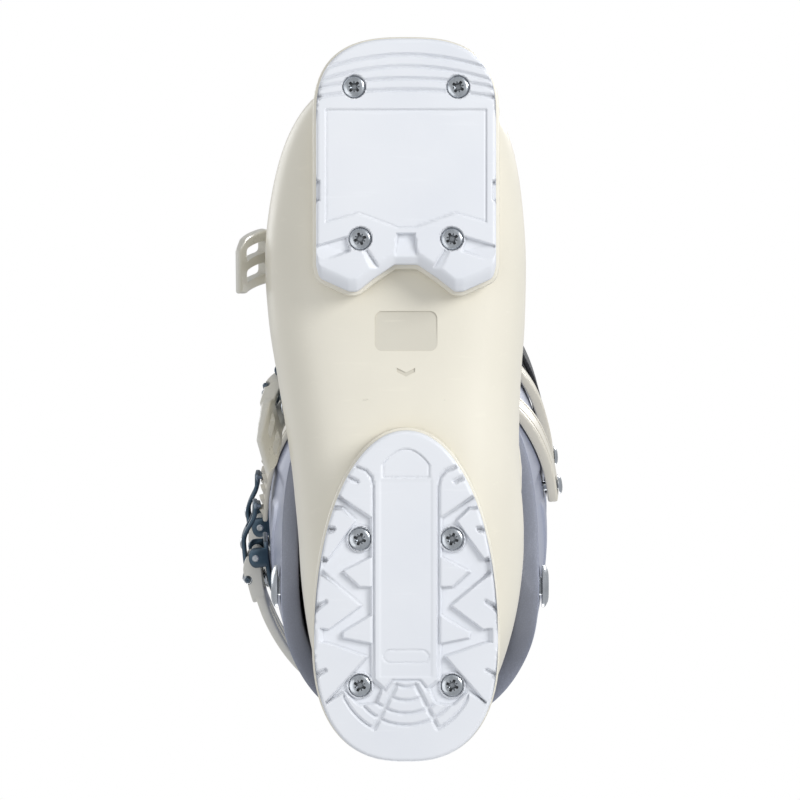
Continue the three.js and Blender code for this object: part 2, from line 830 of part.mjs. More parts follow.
// A strip with teeth where the hook can drop in, riveted down at its far end.
function ladder(buckle) {
  const { girth, ladderEnd } = buckle;
  const { end } = linkEnds(buckle);
  const start = girth.travel(end, -1.5 * toothPitch);
  const steps = Math.ceil((ladderEnd - start) / 7);
  const strip = girth.bar(start, ladderEnd, steps,
    (share) => [plateGap, plateGap + ladderPlate + ladderPad * smoothstep(share, 0.7, 0.85)],
    (share) => [-ladderHalfWidth - 2 * share, ladderHalfWidth + 2 * share],
    true);
  const teeth = [];
  for (let i = 0; i < toothCount; i += 1) {
    const middle = girth.travel(end, (i - 0.5) * toothPitch);
    teeth.push(girth.bar(girth.travel(middle, -1.3), girth.travel(middle, 1.3), 2,
      (share) => [plateGap + 1, plateGap + ladderPlate + (share === 0.5 ? toothHeight : 0.2)],
      () => [-ladderHalfWidth, ladderHalfWidth],
      true));
  }
  return cut(joined(strip, ...teeth), rivetHole(buckle, rivetPlaces(buckle).ladder));
}

for (const buckle of buckles) {
  const { name, girth, hinge } = buckle;
  const rivets = rivetPlaces(buckle);
  const pin = girth.point(hinge, hingeLift);
  place(`${name}_buckle_base`, buckleBase(buckle), 'link');
  place(`${name}_base_rivet`, rivet(buckle, rivets.base), 'steel');
  place(`${name}_lever`, lever(buckle), 'lever');
  place(`${name}_lever_pin`, girth.rod(pin, hingePinRadius, buckleHalfWidth + 0.8), 'steel');
  place(`${name}_link`, link(buckle), 'link');
  place(`${name}_ladder`, ladder(buckle), 'ladder');
  place(`${name}_ladder_rivet`, rivet(buckle, rivets.ladder), 'steel');
}

// ---------------------------------------------------------------- lower shell

const pivot = new THREE.Vector3(0, 78, 100).multiply(stretch);
const flexRange = 8;
const sideways = new THREE.Vector3(1, 0, 0);

// The half width of a surface beside a point that lies some way from the pivot.
function widthBeside(surface, side, ahead = 0, above = 0) {
  const caster = new THREE.Raycaster();
  const far = pivot.clone().add(new THREE.Vector3(side * 3 * forefootWidth, ahead, above));
  caster.set(far, new THREE.Vector3(-side, 0, 0));
  return Math.abs(caster.intersectObject(surface)[0].point.x);
}

// The flat face of the boss stays clear of the cuff all over, though the cuff narrows
// toward the heel.
function bossFace(side) {
  const widths = [];
  for (let angle = 0; angle < 2 * Math.PI; angle += Math.PI / 6) {
    const [ahead, above] = [Math.cos(angle), Math.sin(angle)];
    const reach = pivotBossRadius + 1;
    widths.push(widthBeside(cuffLining, side, reach * ahead, reach * above));
  }
  return Math.min(...widths) - softGap;
}

// The bolt head stands clear of the cuff where the cuff is widest under it.
function headSeat(side) {
  const widths = [];
  for (let angle = 0; angle < 2 * Math.PI; angle += Math.PI / 6) {
    const [ahead, above] = [Math.cos(angle), Math.sin(angle)];
    widths.push(widthBeside(cuffSurface, side, pivotHeadRadius * ahead, pivotHeadRadius * above));
  }
  return Math.max(...widths) + seatGap;
}

// A cylinder across the boot between two half widths on one side.
function pivotRod(side, inner, outer, radius, segments) {
  const middle = pivot.clone().setX((side * (inner + outer)) / 2);
  return rod(middle, sideways, radius, outer - inner, segments);
}

function pivotBoss(side) {
  return pivotRod(side, widthBeside(shellSurface, side) - shellWall, bossFace(side),
    pivotBossRadius, 18);
}

function pivotHole(side) {
  const inner = widthBeside(shellSurface, side) - 3 * shellWall;
  const outer = widthBeside(cuffSurface, side) + 3 * cuffWall;
  return pivotRod(side, inner, outer, pivotBoltRadius + pinGap, 20);
}

function pivotBolt(side) {
  const outer = headSeat(side);
  const inner = widthBeside(shellSurface, side) - shellWall + seatGap;
  const foot = pivot.clone().setX(side * inner);
  const length = outer - inner;
  const body = turned([
    [0, 0],
    [pivotBoltRadius, 0],
    [pivotBoltRadius, length],
    [pivotHeadRadius, length],
    [pivotHeadRadius * 0.8, length + pivotHeadHeight],
    [0, length + pivotHeadHeight],
  ], foot, new THREE.Vector3(side, 0, 0), 20);
  const socket = pivotRod(side, outer + 1, outer + 2 * pivotHeadHeight, 3, 6);
  return cut(body, socket);
}

// The shell's collar and the liner's parting follow an arc about the pivots, and a ray from
// the pivots over the instep, so that the liner's shaft can lean with the cuff.
const partingRadius = 60;
const collarBack = { behind: 32, height: 39, endHeight: 33 };
const footRay = 11;
const shaftRay = footRay + flexRange + 1;

function arc(radius, firstAngle, lastAngle) {
  const points = [];
  for (let i = 0; i <= outlineSteps; i += 1) {
    const angle = degToRad(lerp(firstAngle, lastAngle, i / outlineSteps));
    points.push([pivot.y + radius * Math.cos(angle), pivot.z + radius * Math.sin(angle)]);
  }
  return points;
}

function rayPoint(angle, reach) {
  const turn = degToRad(180 - angle);
  return [pivot.y + reach * Math.cos(turn), pivot.z + reach * Math.sin(turn)];
}

const huge = 4 * soleLength;

// Where the flaps of the shell and the cuff part: x, then the span along Y and Z.
const shellFlap = { x: 6, y: [-74, 20], z: [60, 160] };
const cuffFlap = { x: 8, y: [-120, 30], z: [60, 400] };

function flapGap({ x, y, z }) {
  return block(
    [x, y[0] * stretch.y, z[0] * stretch.z],
    [x + flapSlit, y[1] * stretch.y, z[1] * stretch.z],
  );
}

// Everything of the shell above its collar line, seen from the side.
function aboveShell() {
  return sideBlock([
    rayPoint(footRay, 2 * huge),
    ...arc(partingRadius, 180 - footRay, 72),
    [pivot.y + collarBack.behind, pivot.z + collarBack.height],
    [huge, pivot.z + collarBack.endHeight],
    [huge, 2 * huge],
    [-huge, 2 * huge],
  ]);
}

// The upright foot of the shell above a lug, so that a binding's jaw finds the whole ledge
// beside it open. It stays inside the lug's outline.
function ledgeWall(body, outline, lugHeight) {
  const top = lugHeight + clearAboveLedge;
  const wall = wasm.Manifold.extrude(body.slice(top), top - lugHeight + seatGap)
    .translate([0, 0, lugHeight - seatGap]);
  return wall.intersect(raised(outline, lugHeight - seatGap, top));
}

function lowerShell() {
  const body = cut(formSolid(0, shaftSection, shellOutside), aboveShell());
  const walls = [
    ledgeWall(body, toeOutline(), toeLugHeight),
    ledgeWall(body, heelOutline(), heelLugHeight),
  ];
  const toeBoss = raised(toeOutline(), toePlateThickness + seatGap, toeLugHeight);
  const heelBoss = raised(heelOutline(), heelPlateThickness + seatGap, heelLugHeight);
  const bosses = [-1, 1].map(pivotBoss);
  const cavity = formSolid(noseSection, shaftSection, shellInside);
  const screws = [
    ...screwPlaces(toeScrews).map((at) => screwHole(at, toeScrewLength + seatGap)),
    ...screwPlaces(heelScrews).map((at) => screwHole(at, heelScrewLength + seatGap)),
  ];
  const rivets = buckles.slice(0, 2).flatMap((buckle) =>
    Object.values(rivetPlaces(buckle)).map((spot) => rivetHole(buckle, spot)));
  return cut(
    joined(body, toeBoss, heelBoss, ...walls, ...bosses),
    cavity,
    flapGap(shellFlap),
    ...screws,
    ...[-1, 1].map(pivotHole),
    ...rivets,
  );
}

place('lower_shell', lowerShell(), 'shell');

// ---------------------------------------------------------------- cuff

// The cuff's edges seen from the side, as (y, z) points from front to back.
const cuffLowerEdge = [
  [-200, 123], [-20, 123], [8, 120], [40, 101], [62, 86], [78, 82], [94, 86], [112, 98],
  [200, 101],
];
const cuffUpperEdge = [[-200, 258], [-30, 260], [20, 268], [60, 282], [100, 291], [200, 291]];

function cuff() {
  const body = cut(
    formSolid(ankleSection - 2, lastSection, cuffOutside),
    formSolid(ankleSection - 3, lastSection, cuffInside),
  );
  const below = sideBlock([...scaled(cuffLowerEdge), [huge, -huge], [-huge, -huge]]);
  const over = sideBlock([...scaled(cuffUpperEdge), [huge, 2 * huge], [-huge, 2 * huge]]);
  const rivets = buckles.slice(2).flatMap((buckle) =>
    Object.values(rivetPlaces(buckle)).map((spot) => rivetHole(buckle, spot)));
  const strapHoles = Object.values(strapRivets).map(strapHole);
  return cut(body, below, over, flapGap(cuffFlap), ...[-1, 1].map(pivotHole), ...rivets, ...strapHoles);
}

place('cuff', cuff(), 'cuff');
place('pivot_bolt_lateral', pivotBolt(-1), 'steel');
place('pivot_bolt_medial', pivotBolt(1), 'steel');

// ---------------------------------------------------------------- boot board and liner

const archHeight = 18;
const floorHeight = archHeight * stretch.z + shellFloor;
const boardTop = floorHeight + boardThickness;
const linerSole = 5;

function above(height) {
  return block([-huge, -huge, height], [huge, huge, huge]);
}

function bootBoard() {
  const growAt = (at) => {
    const { back, front, side, cuff: share } = shellInside(at);
    return { back: back - softGap, front: front - softGap, side: side - softGap, cuff: share };
  };
  return formSolid(noseSection, ankleSection + 3, growAt).subtract(above(boardTop));
}

function footRegion() {
  return sideBlock([
    [huge, -huge],
    [huge, pivot.z],
    ...arc(partingRadius, 0, 180 - footRay),
    rayPoint(footRay, huge),
    [-huge, -huge],
  ]);
}

function shaftRegion() {
  return sideBlock([
    [huge, pivot.z],
    [huge, huge],
    [-huge, huge],
    rayPoint(shaftRay, 2 * huge),
    ...arc(partingRadius + softGap, 180 - shaftRay, 0),
  ]);
}

function tongueRegion(halfWidth) {
  return block([-halfWidth, -huge, 0], [halfWidth, pivot.y - tongueReach * stretch.y, huge]);
}

function linerShell() {
  const hollow = formSolid(1, lastSection, linerInside, linerSegments)
    .intersect(above(boardTop + softGap + linerSole));
  return formSolid(noseSection, lastSection, linerOutside)
    .intersect(above(boardTop + softGap))
    .subtract(hollow);
}

function belowTop(points) {
  return sideBlock([...scaled(points), [huge, -huge], [-huge, -huge]]);
}

const linerTop = [[-200, 282], [-30, 284], [40, 296], [90, 312], [200, 312]];
const tongueTop = [[-200, 316], [-50, 312], [0, 306], [200, 304]];
const wholeLiner = linerShell();

place('boot_board', bootBoard(), 'board');
place('liner_foot', wholeLiner.intersect(footRegion()), 'liner');
place('liner_shaft', wholeLiner
  .intersect(shaftRegion())
  .intersect(belowTop(linerTop))
  .subtract(tongueRegion(tongueHalfWidth + softGap)), 'liner');
place('liner_tongue', wholeLiner
  .intersect(shaftRegion())
  .intersect(belowTop(tongueTop))
  .intersect(tongueRegion(tongueHalfWidth)), 'tongue');

// ---------------------------------------------------------------- power strap

function strapRivet(angle) {
  const spot = strapGirth.point(angle, 0, strapDrop, true);
  const headBase = strapGap + strapThickness + softGap;
  return rivetThrough(spot, strapGirth.normal(angle), headBase, cuffWall);
}

function strapHole(angle) {
  const middle = strapGirth.point(angle, 0, strapDrop, true);
  return rod(middle, strapGirth.normal(angle), rivetRadius + pinGap, 4 * cuffWall, 10);
}

function powerStrap() {
  const lift = [strapGap, strapGap + strapThickness];
  const holes = Object.values(strapRivets).map(strapHole);
  return cut(strapGirth.band(strapChord, lift, strapHalfWidth), ...holes);
}

place('power_strap', powerStrap(), 'strap');
for (const [side, angle] of Object.entries(strapRivets)) {
  place(`strap_rivet_${side}`, strapRivet(angle), 'steel');
}

export default boot;
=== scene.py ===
"""Looks of the alpine ski boot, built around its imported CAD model.

Lengths in the code are millimetres and become metres when a mesh is made. +Z is up, the toe
points to -Y, -X is the lateral side and +X the medial side.
"""

import math

import bmesh
import bpy
import numpy as np
from mathutils import Matrix, Vector
from mathutils.bvhtree import BVHTree
from mathutils.kdtree import KDTree


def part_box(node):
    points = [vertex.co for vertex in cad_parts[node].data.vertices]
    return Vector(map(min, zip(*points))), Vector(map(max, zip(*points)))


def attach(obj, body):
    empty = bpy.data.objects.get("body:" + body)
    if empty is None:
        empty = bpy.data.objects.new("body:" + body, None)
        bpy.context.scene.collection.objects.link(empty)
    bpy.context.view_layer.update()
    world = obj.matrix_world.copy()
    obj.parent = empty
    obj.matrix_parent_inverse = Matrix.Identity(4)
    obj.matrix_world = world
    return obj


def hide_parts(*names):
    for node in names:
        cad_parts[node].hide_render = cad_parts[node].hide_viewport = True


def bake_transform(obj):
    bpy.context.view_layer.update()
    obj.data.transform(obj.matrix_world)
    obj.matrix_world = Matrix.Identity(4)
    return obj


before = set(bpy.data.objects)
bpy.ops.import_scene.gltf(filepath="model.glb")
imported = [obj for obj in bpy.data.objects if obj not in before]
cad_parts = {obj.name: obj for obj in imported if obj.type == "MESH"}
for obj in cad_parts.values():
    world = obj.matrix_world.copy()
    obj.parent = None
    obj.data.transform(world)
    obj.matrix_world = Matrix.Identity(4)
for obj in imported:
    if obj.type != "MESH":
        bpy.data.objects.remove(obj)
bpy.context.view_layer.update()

MM = 0.001
scene = bpy.context.scene

# ------------------------------------------------------------------ sizes shared with the CAD

SOLE_LENGTH = 285
TOE_END, HEEL_END = -SOLE_LENGTH / 2, SOLE_LENGTH / 2
TOE_PLATE = {"width": 71, "thickness": 12, "nose": 32.5, "lug": 19, "margin": 1.6,
             "foot_top": 38, "foot_sections": (0.0, 4.2)}
HEEL_PLATE = {"width": 72.5, "length": 130.5, "thickness": 14, "widest": 0.37, "lug": 30,
              "margin": 1.2, "foot_top": 50, "foot_sections": (7.0, 10.95)}
FOOT_INSET = 0.8

SHELL_WALL = 4.5
SHELL_FLOOR = 9
CUFF_WALL = 4.5
CUFF_GAP_BACK = 4.6
CUFF_GAP_FRONT = 7
BOARD_TOP = 35
LINER_WALL = 7
LINER_SOLE = 5
SEAT_GAP, SOFT_GAP, PLATE_GAP, STRAP_GAP = 0.3, 0.6, 0.5, 0.9

PIVOT = (78, 100)
PIVOT_HEAD_RADIUS = 9
PARTING_RADIUS = 60
PARTING_END = 72
# The shell's rim rises a little more over the instep than in the CAD, so no gap shows under the
# cuff in front, and stays lower at the heel, where the cuff comes down as it flexes.
FOOT_RAY = 14.4
HEEL_RIM_HEIGHT = 36

SCREW_HEAD = 4.25
TOE_SCREWS = ((20.5, TOE_END + 19.1), (18.1, TOE_END + 79))
HEEL_SCREWS = ((18.2, HEEL_END - 87.7), (18.2, HEEL_END - 30))

RIVET_HEAD = 4.2
HINGE_LIFT = 5.8
BUCKLE_HALF = 11.5
CHEEK_HALF = 8.6
CHEEK = 2.8
EAR = 2
BASE_PLATE = 2
BAIL_REACH, BAIL_RISE = 11, 25
BAIL_HALF = 4.9
HOOK_REACH = 30
LADDER_HALF = 6
LADDER_PLATE, LADDER_PAD = 2.2, 2.2
TOOTH_HEIGHT, TOOTH_PITCH, TOOTH_COUNT = 1.8, 4.4, 4

STRAP_CENTRE, STRAP_RADIUS = (0, 28, 278), 62
STRAP_HALF, STRAP_THICKNESS = 19, 2.2
STRAP_RIVETS = {"lateral": 278, "medial": 262}
STRAP_DROP = -8
STRAP_TAIL = (98, 204)
STRAP_TAB = (200, 213)

# One row per section from the toe to above the cuff: sole or back y, z, instep or shin y, z,
# lateral and medial half width of the shell, lateral and medial half width of the cuff.
SECTIONS = np.array([
    [-131, 30, -131, 42, 9, 8, 9, 8],
    [-127, 21, -125, 58, 30, 27, 36, 33],
    [-117, 18, -112, 69, 43, 38, 49, 44],
    [-97, 18, -91, 77, 52, 45, 57, 50],
    [-66, 18, -61, 84, 57, 48.5, 62, 54],
    [-34, 19, -33, 94, 56, 48.5, 61, 54],
    [0, 20, -15, 105, 52, 47, 57, 53],
    [36, 20, -6, 116, 48, 47, 54, 54],
    [76, 18, -4, 128, 45, 49, 52, 55.5],
    [110, 17, -5, 140, 43.5, 48, 52, 55.5],
    [131, 30, -7, 151, 42, 45, 52, 55.5],
    [135, 56, -9, 161, 42, 44, 53, 56.5],
    [133, 86, -12, 171, 43, 45, 55, 58.5],
    [127, 116, -15, 181, 45, 47, 58, 61],
    [121, 146, -18, 193, 48, 50, 60, 62.5],
    [115, 176, -22, 208, 50, 52, 61, 63],
    [108, 211, -27, 227, 52, 54, 61, 62.5],
    [101, 246, -32, 247, 53, 54, 60.5, 61.5],
    [94, 285, -38, 270, 54, 54, 60, 60.5],
    [88, 325, -46, 300, 55, 55, 60, 60],
    [81, 368, -55, 343, 55, 55, 60, 60],
], float)
LAST = len(SECTIONS) - 1
NOSE = 0.6
ANKLE = 9
SHAFT = 15

# Edges seen from the side, as height over y.
CUFF_LOWER = ((-200, 123), (-20, 123), (8, 120), (40, 101), (62, 86), (78, 82), (94, 86),
              (112, 98), (200, 101))
CUFF_UPPER = ((-200, 258), (-30, 260), (20, 268), (60, 282), (100, 291), (200, 291))
LINER_TOP = ((-200, 282), (-30, 284), (40, 296), (90, 312), (200, 312))


# ------------------------------------------------------------------ the foot and leg form

def lerp(a, b, t):
    return a + (b - a) * t


def smoothstep(value, low, high):
    t = np.clip((value - low) / (high - low), 0, 1)
    return t * t * (3 - 2 * t)


def columns(at):
    """Section values at places along the form, a Catmull-Rom curve through the rows."""
    start = np.clip(np.floor(at), 0, LAST - 1).astype(int)
    t = (at - start)[..., None]
    a, b, c, d = (SECTIONS[np.clip(start + k, 0, LAST)] for k in (-1, 0, 1, 2))
    return 0.5 * (2 * b + (c - a) * t + (2 * a - 5 * b + 4 * c - d) * t**2
                  + (3 * b - a - 3 * c + d) * t**3)


def form(at, angle, back, front, side, cuff):
    """Points of the form. The angle is 0 at the instep or shin and pi at the sole or back."""
    at, angle = np.broadcast_arrays(np.asarray(at, float), np.asarray(angle, float))
    back_y, back_z, front_y, front_z, lateral, medial, wide_lateral, wide_medial = np.moveaxis(
        columns(at), -1, 0)
    nose = np.maximum(0, 1 - at / 3) * -np.minimum(0, side)
    across_y, across_z = front_y - back_y, front_z - back_z
    length = np.hypot(across_y, across_z)
    across_y, across_z = across_y / length, across_z / length
    reach = (length + back + front) / 2
    centre_y = (back_y + front_y) / 2 + nose + across_y * (front - back) / 2
    centre_z = (back_z + front_z) / 2 + across_z * (front - back) / 2
    up, sideways = np.cos(angle), np.sin(angle)
    power = 2 / np.where(up < 0, lerp(3, 2.3, smoothstep(at, 8, 13)), 2.3)
    along = reach * np.sign(up) * np.abs(up)**power
    half = np.where(sideways < 0, lerp(lateral, wide_lateral, cuff), lerp(medial, wide_medial, cuff))
    x = (half + side) * np.sign(sideways) * np.abs(sideways)**power
    return np.stack([x, centre_y + across_y * along, centre_z + across_z * along], -1)


def shell_outside(at, depth=0.0):
    return {"back": 0 * at - depth, "front": -depth, "side": -depth, "cuff": 0}


def shell_inside(at, depth=0.0):
    floor = lerp(SHELL_FLOOR, SHELL_WALL, smoothstep(at, ANKLE, ANKLE + 3))
    wall = SHELL_WALL + depth
    return {"back": -floor - depth, "front": -wall, "side": -wall, "cuff": 0}


def cuff_inside(at, depth=0.0):
    return {"back": 0 * at + CUFF_GAP_BACK - depth, "front": CUFF_GAP_FRONT - depth,
            "side": -CUFF_WALL - depth, "cuff": 1}


def cuff_outside(at, depth=0.0):
    return {"back": 0 * at + CUFF_GAP_BACK + CUFF_WALL - depth,
            "front": CUFF_GAP_FRONT + CUFF_WALL - depth, "side": -depth, "cuff": 1}


def liner_outside(at, depth=0.0):
    rise = smoothstep(at, SHAFT - 1, SHAFT + 1)
    shell, around = shell_inside(at), cuff_inside(at)
    grow = {key: lerp(shell[key], around[key], rise) - SOFT_GAP - depth
            for key in ("back", "front", "side")}
    return {**grow, "cuff": rise}


def between(outer, inner, at, share):
    """Grow values part of the way from one surface to another."""
    a, b = outer(at), inner(at)
    return {key: lerp(a[key], b[key], share) for key in a}


def table_height(points):
    y, z = np.array(points, float).T
    return lambda place: np.interp(place, y, z)


def smoothed(values, radius):
    """A row of values with its corners rounded over a radius, counted in values."""
    kernel = np.hanning(2 * radius + 1)
    return np.convolve(np.pad(values, radius, mode="edge"), kernel / kernel.sum(), "valid")


def rounded_height(points, radius):
    """Height over y with its corners rounded, as a moulded edge has them."""
    y, z = np.array(points, float).T
    fine = np.arange(y[0], y[-1], 1.0)
    smooth = smoothed(np.interp(fine, y, z), radius)
    return lambda place: np.interp(place, fine, smooth)


def collar_height(place):
    """The shell's collar line: a ray over the instep, an arc about the pivots, then the heel."""
    ahead = place - PIVOT[0]
    ray = np.abs(ahead) * math.tan(math.radians(FOOT_RAY))
    arc = np.sqrt(np.maximum(PARTING_RADIUS**2 - ahead**2, 0))
    end = math.radians(PARTING_END)
    low, high = PARTING_RADIUS * math.cos(end), 32
    drop = lerp(PARTING_RADIUS * math.sin(end), HEEL_RIM_HEIGHT, smoothstep(ahead, low, high))
    height = np.where(ahead < -PARTING_RADIUS * math.cos(math.radians(FOOT_RAY)), ray,
                      np.where(ahead < low, arc, drop))
    return PIVOT[1] + height


def place_at_height(surface, angles, height, first, last):
    """For each angle, how far along the form its line meets an edge given as height over y."""
    steps = np.linspace(first, last, 400)
    grid_at, grid_angle = np.meshgrid(steps, angles, indexing="ij")
    points = form(grid_at, grid_angle, **surface(grid_at))
    above = points[..., 2] >= height(points[..., 1])
    above[-1] = True
    hit = np.argmax(above, axis=0)
    low, high = steps[np.maximum(hit - 1, 0)], steps[hit]
    for _ in range(24):
        middle = (low + high) / 2
        point = form(middle, angles, **surface(middle))
        over = point[..., 2] >= height(point[..., 1])
        high = np.where(over, middle, high)
        low = np.where(over, low, middle)
    return high


# ------------------------------------------------------------------ meshes

def new_object(name, points, faces, uvs=None, crease=40):
    mesh = bpy.data.meshes.new(name)
    mesh.from_pydata((np.asarray(points, float) * MM).tolist(), [], faces)
    if uvs is not None:
        layer = mesh.uv_layers.new(name="UVMap")
        corners = np.array([loop.vertex_index for loop in mesh.loops])
        layer.data.foreach_set("uv", np.asarray(uvs, np.float32)[corners].ravel())
    made = bpy.data.objects.new(name, mesh)
    scene.collection.objects.link(made)
    face_outward(made)
    soften(made, crease)
    return made


def face_outward(obj):
    work = bmesh.new()
    work.from_mesh(obj.data)
    bmesh.ops.recalc_face_normals(work, faces=work.faces)
    if work.calc_volume(signed=True) < 0:
        bmesh.ops.reverse_faces(work, faces=work.faces)
    work.to_mesh(obj.data)
    work.free()


def soften(obj, crease):
    """Smooth shading that breaks at edges sharper than an angle."""
    obj.data.polygons.foreach_set("use_smooth", [True] * len(obj.data.polygons))
    obj.data.set_sharp_from_angle(angle=math.radians(crease))


def skin(name, rings, endless=False, uvs=None, crease=40):
    """A closed skin through rings of points: run round to its start, or closed by two fans."""
    rings = np.asarray(rings, float)
    rows, count = rings.shape[:2]
    index = np.arange(rows * count).reshape(rows, count)
    low, high = (index, np.roll(index, -1, 0)) if endless else (index[:-1], index[1:])
    quads = np.stack([low, np.roll(low, -1, 1), np.roll(high, -1, 1), high], -1)
    faces = quads.reshape(-1, 4).tolist()
    points = rings.reshape(-1, 3)
    if not endless:
        ends = (index[0], index[-1])
        points = np.vstack([points, rings[0].mean(0), rings[-1].mean(0)])
        for k, ring in enumerate(ends):
            middle = rows * count + k
            faces += [[int(a), int(b), middle] for a, b in zip(ring, np.roll(ring, -1))]
    return new_object(name, points, faces, uvs, crease)


def finish_modifiers(obj, crease=40):
    depsgraph = bpy.context.evaluated_depsgraph_get()
    mesh = bpy.data.meshes.new_from_object(obj.evaluated_get(depsgraph))
    old = obj.data
    obj.modifiers.clear()
    obj.data = mesh
    bpy.data.meshes.remove(old)
    soften(obj, crease)
    return obj


def combine(target, others, operation="DIFFERENCE", crease=40):
    """Cuts the others out of the target, or joins them to it, and removes them."""
    for other in others:
        modifier = target.modifiers.new("combine", "BOOLEAN")
        modifier.solver = "MANIFOLD"
        modifier.operation = operation
        modifier.object = other
    finish_modifiers(target, crease)
    for other in others:
        bpy.data.objects.remove(other)
    return target


def bevelled(obj, width, segments=2, angle=45, crease=40):
    modifier = obj.modifiers.new("bevel", "BEVEL")
    modifier.width = width * MM
    modifier.segments = segments
    modifier.limit_method = "ANGLE"
    modifier.angle_limit = math.radians(angle)
    return finish_modifiers(obj, crease)


def prism(name, outline, bottom, top):
    """An outline of (x, y) points raised from one height to another."""
    count = len(outline)
    points = [(x, y, z) for z in (bottom, top) for x, y in outline]
    faces = [list(range(count)), list(range(count, 2 * count))]
    for i in range(count):
        j = (i + 1) % count
        faces.append([i, j, count + j, count + i])
    return new_object(name, points, faces)


def rounded_box(name, centre, size, radius):
    half = [s / 2 for s in size]
    outline = []
    for i in range(24):
        angle = 2 * math.pi * (i + 0.5) / 24
        x, y = math.cos(angle), math.sin(angle)
        outline.append((
            centre[0] + math.copysign(half[0] - radius, x) + radius * x,
            centre[1] + math.copysign(half[1] - radius, y) + radius * y,
        ))
    return prism(name, outline, centre[2] - half[2], centre[2] + half[2])


def turned(name, profile, foot, direction, segments=40, ribs=0, rib_depth=0.0):
    """A turned piece: (radius, height) points spun about a direction, with ribs if asked."""
    turn = Vector((0, 0, 1)).rotation_difference(Vector(direction)).to_matrix()
    rings = []
    for radius, height in profile:
        ring = []
        for j in range(segments):
            angle = 2 * math.pi * j / segments
            ribbed = radius + rib_depth * (math.cos(ribs * angle) - 1) / 2 if ribs else radius
            spot = Vector((ribbed * math.cos(angle), ribbed * math.sin(angle), height))
            ring.append(Vector(foot) + turn @ spot)
        rings.append(ring)
    return skin(name, rings, crease=32)


# ------------------------------------------------------------------ materials

def srgb(red, green, blue):
    def linear(value):
        value /= 255
        return value / 12.92 if value <= 0.04045 else ((value + 0.055) / 1.055)**2.4
    return (linear(red), linear(green), linear(blue), 1)


def tinted(colour, share):
    """A colour made darker, by a share below 1, or lighter."""
    return (*(min(1, share * c) for c in colour[:3]), 1)


class Finish:
    """A material and short ways to add and link its nodes."""

    def __init__(self, name):
        self.material = bpy.data.materials.new(name)
        self.material.use_nodes = True
        self.tree = self.material.node_tree
        self.shader = self.tree.nodes["Principled BSDF"]
        self.place = self.add("ShaderNodeTexCoord").outputs["Object"]

    def add(self, kind, inputs=None, **settings):
        made = self.tree.nodes.new(kind)
        for key, value in settings.items():
            setattr(made, key, value)
        for key, value in (inputs or {}).items():
            self.plug(made.inputs[key], value)
        return made

    def plug(self, socket, value):
        if isinstance(value, bpy.types.NodeSocket):
            self.tree.links.new(value, socket)
        else:
            socket.default_value = value

    def set(self, **inputs):
        for key, value in inputs.items():
            self.plug(self.shader.inputs[key.replace("_", " ")], value)

    def noise(self, scale, detail=3.0, roughness=0.5, place=None):
        return self.add("ShaderNodeTexNoise", {
            "Vector": place or self.place, "Scale": scale, "Detail": detail, "Roughness": roughness,
        }).outputs["Fac"]

    def streaks(self, scale, detail, rotation=(0, 0, 0)):
        """Noise that is stretched along the directions with a small scale."""
        place = self.add("ShaderNodeMapping", {
            "Vector": self.place, "Scale": scale, "Rotation": rotation}).outputs["Vector"]
        return self.noise(1.0, detail, place=place)

    def range(self, value, low, high, to_low, to_high):
        return self.add("ShaderNodeMapRange", {
            "Value": value, "From Min": low, "From Max": high, "To Min": to_low, "To Max": to_high,
        }).outputs["Result"]

    def blend(self, factor, first, second, mode="MIX"):
        made = self.add("ShaderNodeMix", data_type="RGBA", blend_type=mode)
        self.plug(made.inputs[0], factor)
        self.plug(made.inputs[6], first)
        self.plug(made.inputs[7], second)
        return made.outputs[2]

    def math(self, operation, first, second=0.0):
        made = self.add("ShaderNodeMath", operation=operation)
        self.plug(made.inputs[0], first)
        self.plug(made.inputs[1], second)
        return made.outputs[0]

    def bump(self, height, strength, distance, normal=None):
        inputs = {"Height": height, "Strength": strength, "Distance": distance * MM}
        if normal is not None:
            inputs["Normal"] = normal
        return self.add("ShaderNodeBump", inputs).outputs["Normal"]

    def crease_shade(self):
        """1 in tight hollows of the surface and 0 elsewhere, where painted shade darkens the
        plastic.
        """
        pointed = self.add("ShaderNodeNewGeometry").outputs["Pointiness"]
        return self.range(pointed, 0.49, 0.44, 0.0, 1.0)

    def recess_shade(self, reach):
        """1 deep inside narrow recesses and 0 on open faces, where painted shade darkens the steel.
        """
        open_sky = self.add("ShaderNodeAmbientOcclusion", {"Distance": reach * MM},
                            only_local=True, samples=8).outputs["AO"]
        return self.range(open_sky, 0.9, 0.45, 0.0, 1.0)

    def edges(self):
        """1 on worn outer edges and 0 elsewhere."""
        pointed = self.add("ShaderNodeNewGeometry").outputs["Pointiness"]
        return self.range(pointed, 0.52, 0.60, 0.0, 1.0)


def moulded_plastic(name, colour, shade, roughness, grain=900, coat=0.0, scuffs=0.25):
    """Injection moulded plastic: faint colour drift, fine grain, dulled scuffs and painted shade in
    tight creases.
    """
    look = Finish(name)
    drift = look.noise(14, 4)
    patch = look.noise(60, 5, 0.6)
    scratch = look.streaks((40, 420, 260), 4.0, (0.3, 0.2, 0.5))
    base = look.blend(look.range(drift, 0.3, 0.7, 0, 1), colour, shade)
    # Painted shade: the plastic is darkened in its tight creases, where shade falls.
    crease_shaded = look.blend(look.math("MULTIPLY", look.crease_shade(), 0.35), base, tinted(shade, 0.55))
    worn = look.math("MULTIPLY", look.range(scratch, 0.62, 0.72, 0, 1), scuffs)
    look.set(
        Base_Color=look.blend(worn, crease_shaded, tinted(colour, 1.06)),
        Roughness=look.math("ADD", look.range(patch, 0.3, 0.7, roughness - 0.05, roughness + 0.07),
                            look.math("MULTIPLY", worn, 0.3)),
        Normal=look.bump(look.noise(grain, 2), 0.12, 0.12,
                         look.bump(look.noise(grain / 9, 3), 0.1, 0.3)),
        Coat_Weight=coat,
        Coat_Roughness=0.2,
    )
    return look.material


